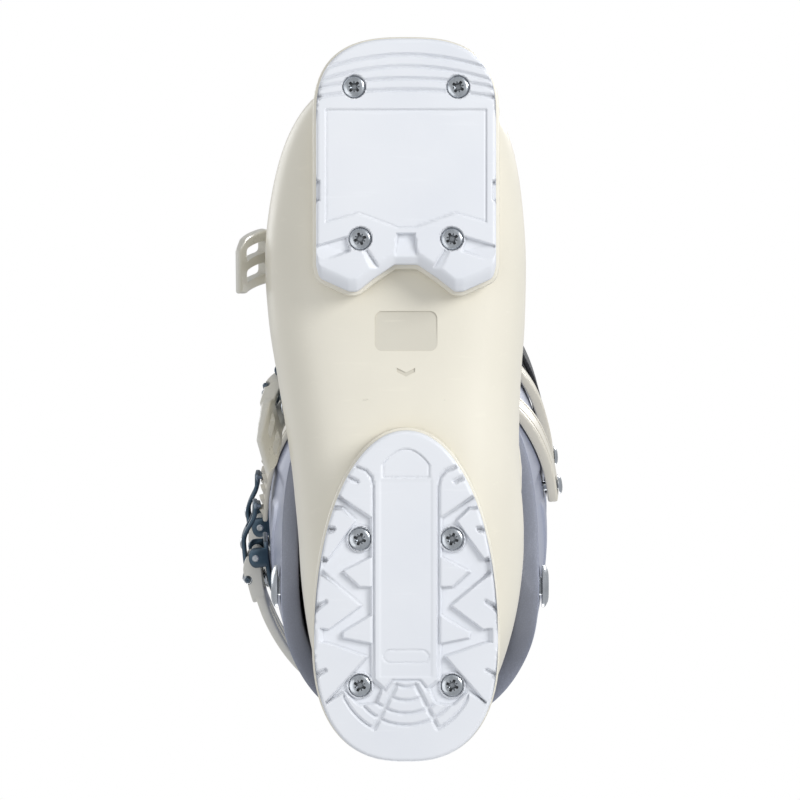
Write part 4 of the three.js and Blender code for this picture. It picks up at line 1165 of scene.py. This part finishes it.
def surface_tree(surface, first, last):
    """A fine copy of a surface of the form, to cast rays at."""
    places = np.linspace(first, last, 240)
    angles = ring_angles(240)
    grid = np.stack([form(at, angles, **surface(at)) for at in places])
    rows, count = grid.shape[:2]
    index = np.arange(rows * count).reshape(rows, count)
    quads = np.stack([index[:-1], np.roll(index[:-1], -1, 1), np.roll(index[1:], -1, 1),
                      index[1:]], -1).reshape(-1, 4)
    return BVHTree.FromPolygons(grid.reshape(-1, 3).tolist(), quads.tolist())


WELL_OUTSIDE = 318


class Girth:
    """A plane around the boot. Its angle is 0 at the lateral side, 90 over the instep or shin."""

    def __init__(self, tree, centre, ahead, sweep=0.0):
        self.tree = tree
        self.centre = Vector(centre)
        self.ahead = Vector(ahead).normalized()
        across = Vector((-1, 0, 0))
        self.side = (across + across.cross(self.ahead) * sweep).normalized()
        self.axis = self.side.cross(self.ahead).normalized()
        self.known = {}

    def surface(self, degrees, along=0.0):
        key = (round(degrees, 4), round(along, 4))
        if key not in self.known:
            angle = math.radians(degrees)
            outward = self.side * math.cos(angle) + self.ahead * math.sin(angle)
            far = self.centre + self.axis * along + outward * WELL_OUTSIDE
            self.known[key] = self.tree.ray_cast(far, -outward)[0]
        return self.known[key].copy()

    def travel(self, degrees, distance):
        stride = math.copysign(1, distance)
        angle, left = degrees, abs(distance)
        while left > 0:
            step = (self.surface(angle + stride) - self.surface(angle)).length
            share = min(1.0, left / step)
            angle += stride * share
            left -= step * share
            if share < 1:
                break
        return angle

    def angle_under(self, point, guess):
        angle = guess
        for _ in range(6):
            offset = (point - self.surface(angle)).dot(self.onward(angle))
            if offset:
                angle = self.travel(angle, offset)
        return angle

    def onward(self, degrees):
        return (self.surface(degrees + 1.5) - self.surface(degrees - 1.5)).normalized()

    def outward(self, degrees):
        return -self.axis.cross(self.onward(degrees)).normalized()

    def normal(self, degrees):
        slope = self.surface(degrees, 4) - self.surface(degrees, -4)
        return -slope.cross(self.onward(degrees)).normalized()

    def point(self, degrees, lift, along=0.0, fits=False):
        foot = self.surface(degrees, along if fits else 0.0)
        if not fits:
            foot += self.axis * along
        return foot + self.outward(degrees) * lift

    def bar(self, name, start, end, steps, lift, half, fits=False, round_to=0.6):
        """A bar that follows the surface, with rounded edges. lift is its lower and upper
        height and half its two sides, each as a pair or as a function of the share of its
        length."""
        rings = []
        length = (self.surface(start) - self.surface(end)).length
        ends = min(0.45, round_to / length)
        shares = sorted({0.0, ends * 0.3, ends, *np.linspace(ends, 1 - ends, steps + 1),
                         1 - ends, 1 - ends * 0.3, 1.0})
        for share in shares:
            near = min(share, 1 - share) / ends
            inset = round_to * (1 - math.sqrt(1 - (1 - min(1, near))**2)) * 0.9
            angle = lerp(start, end, share)
            low, high = lift(share) if callable(lift) else lift
            left, right = half(share) if callable(half) else half
            low, high, left, right = low + inset, high - inset, left + inset, right - inset
            radius = max(0.05, min(round_to, (high - low) / 2.2, (right - left) / 2.2))
            ring = []
            for corner_x, corner_z, first in ((left, low, 180), (left, high, 90),
                                              (right, high, 0), (right, low, 270)):
                in_x = corner_x + (radius if corner_x == left else -radius)
                in_z = corner_z + (radius if corner_z == low else -radius)
                for k in range(4):
                    turn = math.radians(first + 90 - 30 * k)
                    ring.append(self.point(angle, in_z + radius * math.sin(turn),
                                           in_x + radius * math.cos(turn), fits))
            rings.append(ring)
        return skin(name, rings, crease=34)

    def rod(self, name, point, radius, half_length, ribs=0, rib_depth=0.0, round_to=0.4):
        foot = point - self.axis * half_length
        profile = ((0.05, 0), (radius - round_to, 0), (radius, round_to),
                   (radius, 2 * half_length - round_to), (radius - round_to, 2 * half_length),
                   (0.05, 2 * half_length))
        return turned(name, profile, foot, self.axis, 60 if ribs else 28, ribs, rib_depth)


shell_tree = surface_tree(shell_outside, 0, LAST)
cuff_tree = surface_tree(cuff_outside, ANKLE - 2, LAST)
STRAP_GIRTH = Girth(cuff_tree, STRAP_CENTRE, (0, -1, -0.14))
BUCKLES = (
    {"name": "forefoot", "body": "shell", "hinge": 44, "tail": 44, "ladder_end": 128,
     "girth": Girth(shell_tree, (0, -52, 46), (0, -0.29, 1))},
    {"name": "instep", "body": "shell", "hinge": 40, "tail": 42, "ladder_end": 134,
     "girth": Girth(shell_tree, (0, 11, 57), (0, -0.75, 1), 0.2)},
    {"name": "lower_cuff", "body": "cuff", "hinge": -14, "tail": 60, "ladder_end": 172,
     "girth": Girth(cuff_tree, (0, 52, 170), (0, -1, -0.16))},
    {"name": "upper_cuff", "body": "cuff", "hinge": -14, "tail": 58, "ladder_end": 172,
     "girth": Girth(cuff_tree, (0, 40, 228), (0, -1, -0.2))},
)


def mirrored(inner, outer):
    """The two sides of a pair of parts that lie between two distances from the middle."""
    return ((-outer, -inner), (inner, outer))


def join(target, others):
    return combine(target, others, "UNION", 34)


def cut(target, others):
    return combine(target, others, "DIFFERENCE", 34)


def rivet(name, foot, direction, seat, wall=4.0):
    """A domed rivet with a flat ring, a dished middle and a shank through the wall."""
    profile = ((0.05, -wall), (2, -wall), (2, seat), (RIVET_HEAD, seat),
               (RIVET_HEAD, seat + 0.35), (RIVET_HEAD - 0.4, seat + 0.85),
               (RIVET_HEAD - 1.3, seat + 1.3), (1.9, seat + 1.5), (1.2, seat + 1.25),
               (0.7, seat + 1.0), (0.05, seat + 1.0))
    return turned(name, profile, foot, direction, 40)


def bail_point(buckle):
    girth, hinge = buckle["girth"], buckle["hinge"]
    rise = math.radians(BAIL_RISE)
    return (girth.point(hinge, HINGE_LIFT)
            - girth.onward(hinge) * BAIL_REACH * math.cos(rise)
            + girth.outward(hinge) * BAIL_REACH * math.sin(rise))


def buckle_base(buckle):
    name, girth, hinge = buckle["name"], buckle["girth"], buckle["hinge"]
    plate = girth.bar(f"{name}_hinge_plate", girth.travel(hinge, -17), girth.travel(hinge, 7), 12,
                      (PLATE_GAP, PLATE_GAP + BASE_PLATE),
                      lambda share: (-BUCKLE_HALF + 2.6 * (1 - share)**4,
                                     BUCKLE_HALF - 2.6 * (1 - share)**4), True, 0.7)
    ears = []
    for sides in mirrored(BUCKLE_HALF - EAR, BUCKLE_HALF):
        ears.append(girth.bar(
            "ear", girth.travel(hinge, -4.2), girth.travel(hinge, 4.2), 10,
            lambda share: (PLATE_GAP + 0.8,
                           HINGE_LIFT + 0.6 + 3 * math.sqrt(max(0, 1 - (2 * share - 1)**2))),
            sides, True, 0.5))
    join(plate, ears)
    return mount(plate, "link", buckle["body"], f"{name}_buckle_base")


def lever_half(share):
    shoulder = lerp(CHEEK_HALF, BUCKLE_HALF, min(1, share * 5))
    return shoulder - 8 * max(0, share - 0.7)


def lever(buckle):
    """A skeleton lever: two cheeks, a slitted shank that lifts toward its finger tip."""
    name, girth, hinge, tail = (buckle[key] for key in ("name", "girth", "hinge", "tail"))
    tip = girth.travel(hinge, -tail)
    start = girth.travel(hinge, -15.5)

    def shank_lift(share):
        return (5.4 + 4.5 * share**2, 9.6 + 3.4 * share**2 - 0.8 * share)

    shank = girth.bar(f"{name}_skeleton_lever", start, tip, 24, shank_lift,
                      lambda share: (-lever_half(share), lever_half(share)), False, 1.0)
    parts = []
    for sides in mirrored(CHEEK_HALF - CHEEK, CHEEK_HALF):
        parts.append(girth.bar(
            "cheek", girth.travel(hinge, 0.5), girth.travel(hinge, -18), 12,
            lambda share: (3.4 + 2 * share,
                           7.8 + 4.4 * math.sin(math.pi * min(share + 0.15, 0.7))),
            sides, False, 0.7))
    parts.append(girth.rod("barrel", girth.point(hinge, HINGE_LIFT), 2.5, CHEEK_HALF - 0.4))
    join(shank, parts)
    slits = []
    for sides in mirrored(1.9, 7.2):
        slits.append(girth.bar(
            "slit", girth.travel(hinge, -22), girth.travel(hinge, -tail + 8), 16,
            (0, 20), sides, False, 1.6))
    for k in range(4):
        away = -tail + 6.2 - 1.7 * k
        slits.append(girth.bar(
            "grip", girth.travel(hinge, away), girth.travel(hinge, away - 0.8), 2,
            (12.1, 16), (-5.5, 5.5), False, 0.3))
    slits.append(girth.rod("pin_hole", girth.point(hinge, HINGE_LIFT), 1.8, 20, round_to=0.1))
    slits.append(girth.rod("link_hole", bail_point(buckle), 2.1, 20, round_to=0.1))
    cut(shank, slits)
    return mount(shank, "lever", f"{name}_lever", f"{name}_lever")


def link_ends(buckle):
    girth = buckle["girth"]
    eye = bail_point(buckle)
    start = girth.angle_under(eye, buckle["hinge"])
    return eye, start, girth.travel(start, HOOK_REACH)


def link(buckle):
    """The link: a ribbed adjuster barrel, a lobed plate with a window and a hook."""
    name, girth = buckle["name"], buckle["girth"]
    eye, start, end = link_ends(buckle)
    eye_lift = (girth.surface(start) - eye).length
    rest = PLATE_GAP + LADDER_PLATE + TOOTH_HEIGHT + SOFT_GAP

    def low(share):
        return float(lerp(eye_lift - 1, rest, smoothstep(share, 0.45, 0.85)))

    def half(share):
        waist = 0.9 * math.exp(-((share - 0.45) / 0.14)**2)
        return (-BAIL_HALF + waist, BAIL_HALF - waist)

    plate = girth.bar(f"{name}_link_plate", start, girth.travel(end, 1.5), 26,
                      lambda share: (low(share), low(share) + 2), half, True, 0.6)
    hook = girth.bar("hook", girth.travel(end, -0.8), girth.travel(end, 0.8), 3,
                     (rest - TOOTH_HEIGHT * 0.8, rest + 1), (-BAIL_HALF, BAIL_HALF), True, 0.4)
    trunnion = girth.rod("trunnion", eye, 1.3, CHEEK_HALF)
    join(plate, [hook, trunnion])
    window = girth.bar("window", girth.travel(end, -10), girth.travel(end, -4), 6,
                       (0, 20), (-2.6, 2.6), False, 1.0)
    cut(plate, [window])
    mount(plate, "link", f"{name}_link", f"{name}_link")
    barrel = girth.rod(f"{name}_adjuster", eye, 2.55, BAIL_HALF, ribs=20, rib_depth=0.5)
    mount(barrel, "steel", f"{name}_link")
    dome = girth.point(girth.travel(start, 13.5), low(0.45) + 1.7)
    cap = rivet(f"{name}_link_rivet", dome, girth.outward(girth.travel(start, 13.5)), 0.0, 1.0)
    cap.data.transform(Matrix.Translation(dome * MM) @ Matrix.Scale(0.62, 4)
                       @ Matrix.Translation(-dome * MM))
    mount(cap, "steel", f"{name}_link")


def ladder(buckle):
    """A toothed strip, riveted down at its far end."""
    name, girth, far = buckle["name"], buckle["girth"], buckle["ladder_end"]
    end = link_ends(buckle)[2]
    start = girth.travel(end, -1.5 * TOOTH_PITCH)
    strip = girth.bar(f"{name}_toothed_strip", start, far, int((far - start) / 2),
                      lambda share: (PLATE_GAP, PLATE_GAP + LADDER_PLATE
                                     + LADDER_PAD * float(smoothstep(share, 0.7, 0.85))),
                      lambda share: (-LADDER_HALF - 2 * share, LADDER_HALF + 2 * share), True, 0.8)
    teeth = []
    for i in range(TOOTH_COUNT):
        middle = girth.travel(end, (i - 0.5) * TOOTH_PITCH)
        teeth.append(girth.bar(
            "tooth", girth.travel(middle, -1.3), girth.travel(middle, 1.3), 6,
            lambda share: (PLATE_GAP + 1, PLATE_GAP + LADDER_PLATE
                           + TOOTH_HEIGHT * (share + 0.15 if share < 0.8 else 4.6 * (1 - share))),
            (-LADDER_HALF + 0.3, LADDER_HALF - 0.3), True, 0.3))
    join(strip, teeth)
    grooves = []
    first = girth.travel(end, (TOOTH_COUNT + 0.6) * TOOTH_PITCH)
    for sides in mirrored(3.8, 5.2):
        grooves.append(girth.bar(
            "rail", first, girth.travel(far, -16), 14,
            (PLATE_GAP + LADDER_PLATE - 0.7, 14), sides, True, 0.4))
    cut(strip, grooves)
    return mount(strip, "ladder", buckle["body"], f"{name}_ladder")


def build_buckles():
    for buckle in BUCKLES:
        name, girth, hinge = buckle["name"], buckle["girth"], buckle["hinge"]
        buckle_base(buckle)
        lever(buckle)
        link(buckle)
        ladder(buckle)
        pin = girth.rod(f"{name}_hinge_pin", girth.point(hinge, HINGE_LIFT), 1.5,
                        BUCKLE_HALF + 0.8, round_to=0.5)
        mount(pin, "steel", buckle["body"], f"{name}_lever_pin")
        spots = (("base", girth.travel(hinge, -11), BASE_PLATE),
                 ("ladder", girth.travel(buckle["ladder_end"], -6), LADDER_PLATE + LADDER_PAD))
        for which, angle, under in spots:
            head = rivet(f"{name}_{which}_rivet_head", girth.point(angle, 0), girth.normal(angle),
                         PLATE_GAP + under + SOFT_GAP)
            mount(head, "steel", buckle["body"], f"{name}_{which}_rivet")


# ------------------------------------------------------------------ power strap

def build_strap():
    """Webbing round the cuff with rolled edges, its loose end laid over it in front."""
    half, low, high = STRAP_HALF, STRAP_GAP, STRAP_GAP + STRAP_THICKNESS
    section = []
    for k in range(17):
        share = -1 + 2 * k / 16
        section.append((share * half, high - 0.5 * abs(share)**6))
    section += [(half + 0.15, (low + high) / 2)]
    section += [(share * half, low) for share in np.linspace(1, -1, 9)]
    section += [(-half - 0.15, (low + high) / 2)]
    rings, uvs, along = [], [], 0.0
    girth, last = STRAP_GIRTH, None
    for degrees in np.arange(0, 360, 2.5):
        spot = girth.surface(degrees)
        along += (spot - last).length if last else 0
        last = spot
        rings.append([girth.point(degrees, lift, across, True) for across, lift in section])
        uvs += [(along, across) for across, _ in section]
    strap = skin("power_strap_webbing", rings, endless=True, uvs=uvs, crease=50)
    mount(strap, "strap", "cuff", "power_strap")
    tail = girth.bar("power_strap_tail", *STRAP_TAIL, 60, (high + 0.1, high + 2.0),
                     (-half + 2.5, half - 2.5), True, 0.7)
    give_uvs(tail)
    mount(tail, "strap", "cuff")
    tab = girth.bar("power_strap_tab", *STRAP_TAB, 10, (high + 0.2, high + 2.6),
                    (-half + 4, half - 4), True, 0.9)
    mount(tab, "patch", "cuff")
    for side, degrees in STRAP_RIVETS.items():
        foot = girth.point(degrees, 0, STRAP_DROP, True)
        head = rivet(f"strap_{side}_rivet_head", foot, girth.normal(degrees),
                     high + SOFT_GAP)
        mount(head, "steel", "cuff", f"strap_rivet_{side}")


def give_uvs(obj):
    """Lengths around and up the boot as UVs, in millimetres, for a woven look."""
    mesh = obj.data
    layer = mesh.uv_layers.new(name="UVMap")
    for loop in mesh.loops:
        x, y, z = mesh.vertices[loop.vertex_index].co / MM
        layer.data[loop.index].uv = (math.atan2(y - STRAP_CENTRE[1], x) * STRAP_RADIUS, z)


# ------------------------------------------------------------------ pivots and the rest

def build_pivots():
    for side, name in ((-1, "lateral"), (1, "medial")):
        box_low, box_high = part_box(f"pivot_bolt_{name}")
        outer = (box_high.x if side > 0 else -box_low.x) / MM
        seat = outer - 3
        foot = Vector((side * seat, *PIVOT))
        radius = PIVOT_HEAD_RADIUS
        profile = ((0.05, -9), (4, -9), (4, 0), (radius, 0), (radius, 0.8), (radius - 0.5, 1.5),
                   (radius - 2.2, 2.4), (radius - 3.4, 2.7), (radius - 3.8, 2.2), (0.05, 2.2))
        bolt = turned(f"pivot_bolt_head_{name}", profile, foot, (side, 0, 0), 56)
        socket = turned("socket", ((0.05, 0.6), (3.1, 0.6), (3.1, 6), (0.05, 6)), foot,
                        (side, 0, 0), 6)
        combine(bolt, [socket], crease=30)
        mount(bolt, "steel", "shell", f"pivot_bolt_{name}")


def dress_remaining_nodes():
    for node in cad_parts.values():
        if not node.hide_render:
            node.data.materials.clear()
            node.data.materials.append(LOOKS["board"])


# ------------------------------------------------------------------ studio

def build_camera():
    """Square below the sole, with the toe up in the picture."""
    distance, picture_width, off_centre = 1500, 314.9, -2.4
    data = bpy.data.cameras.new("camera")
    data.sensor_width = 36
    data.lens = 36 * distance / picture_width
    data.clip_start, data.clip_end = 0.05, 20
    camera = bpy.data.objects.new("camera", data)
    camera.location = Vector((off_centre, 0, -distance)) * MM
    camera.rotation_euler = (math.pi, 0, 0)
    scene.collection.objects.link(camera)
    scene.camera = camera


def area_light(name, place, aim, size, power):
    data = bpy.data.lights.new(name, "AREA")
    data.shape = "DISK"
    data.size = size
    data.energy = power
    light = bpy.data.objects.new(name, data)
    light.location = place
    light.rotation_euler = (Vector(aim) - Vector(place)).to_track_quat("-Z", "Y").to_euler()
    scene.collection.objects.link(light)


def build_floor():
    """A pale floor that fades into the background and lets the view from below through."""
    look = Finish("floor_pale")
    clear = look.add("ShaderNodeBsdfTransparent")
    below = look.add("ShaderNodeNewGeometry").outputs["Backfacing"]
    away = look.add("ShaderNodeVectorMath", {0: look.place}, operation="LENGTH").outputs["Value"]
    faded = look.math("MAXIMUM", below, look.range(away, 0.25, 2.2, 0, 1))
    mixed = look.add("ShaderNodeMixShader", {
        0: faded, 1: look.shader.outputs[0], 2: clear.outputs[0],
    })
    look.tree.links.new(mixed.outputs[0], look.tree.nodes["Material Output"].inputs["Surface"])
    look.set(Base_Color=look.blend(look.noise(3, 2), (0.58, 0.59, 0.60, 1), (0.62, 0.62, 0.63, 1)),
             Roughness=0.6, Emission_Color=(1, 1, 1, 1), Emission_Strength=0.08)
    size = 8000
    points = [(-size, -size, -0.6), (size, -size, -0.6), (size, size, -0.6), (-size, size, -0.6)]
    mesh = bpy.data.meshes.new("floor")
    mesh.from_pydata([tuple(c * MM for c in p) for p in points], [], [(0, 1, 2, 3)])
    floor = bpy.data.objects.new("floor", mesh)
    scene.collection.objects.link(floor)
    mesh.materials.append(look.material)
    floor.visible_shadow = False
    floor.visible_diffuse = False
    floor.visible_glossy = False


def build_light():
    world = bpy.data.worlds.new("studio")
    world.use_nodes = True
    scene.world = world
    nodes, links = world.node_tree.nodes, world.node_tree.links
    seen = nodes["Background"]
    seen.inputs["Color"].default_value = (1, 1, 1, 1)
    seen.inputs["Strength"].default_value = 1.0
    fill = nodes.new("ShaderNodeBackground")
    fill.inputs["Color"].default_value = (0.95, 0.97, 1.0, 1)
    fill.inputs["Strength"].default_value = 0.52
    mixed = nodes.new("ShaderNodeMixShader")
    path = nodes.new("ShaderNodeLightPath")
    links.new(path.outputs["Is Camera Ray"], mixed.inputs[0])
    links.new(fill.outputs[0], mixed.inputs[1])
    links.new(seen.outputs[0], mixed.inputs[2])
    links.new(mixed.outputs[0], nodes["World Output"].inputs["Surface"])
    middle = (0, 0, 0.1)
    area_light("below_key", (1.0, -0.5, -0.9), middle, 0.7, 12.5)
    area_light("below_fill", (-0.8, 0.3, -1.2), middle, 1.2, 3.6)
    area_light("above_key", (0.9, -0.9, 1.5), middle, 0.7, 16)
    area_light("above_fill", (-1.2, -0.5, 1.1), middle, 1.2, 6.5)
    area_light("above_back", (0.1, 1.3, 1.2), middle, 1.0, 7.5)
    scene.view_settings.view_transform = "Standard"


# ------------------------------------------------------------------ all together

build_camera()
build_floor()
build_light()
build_soles()
build_shell()
build_cuff()
build_liner()
build_tongue()
build_buckles()
build_strap()
build_pivots()
dress_remaining_nodes()
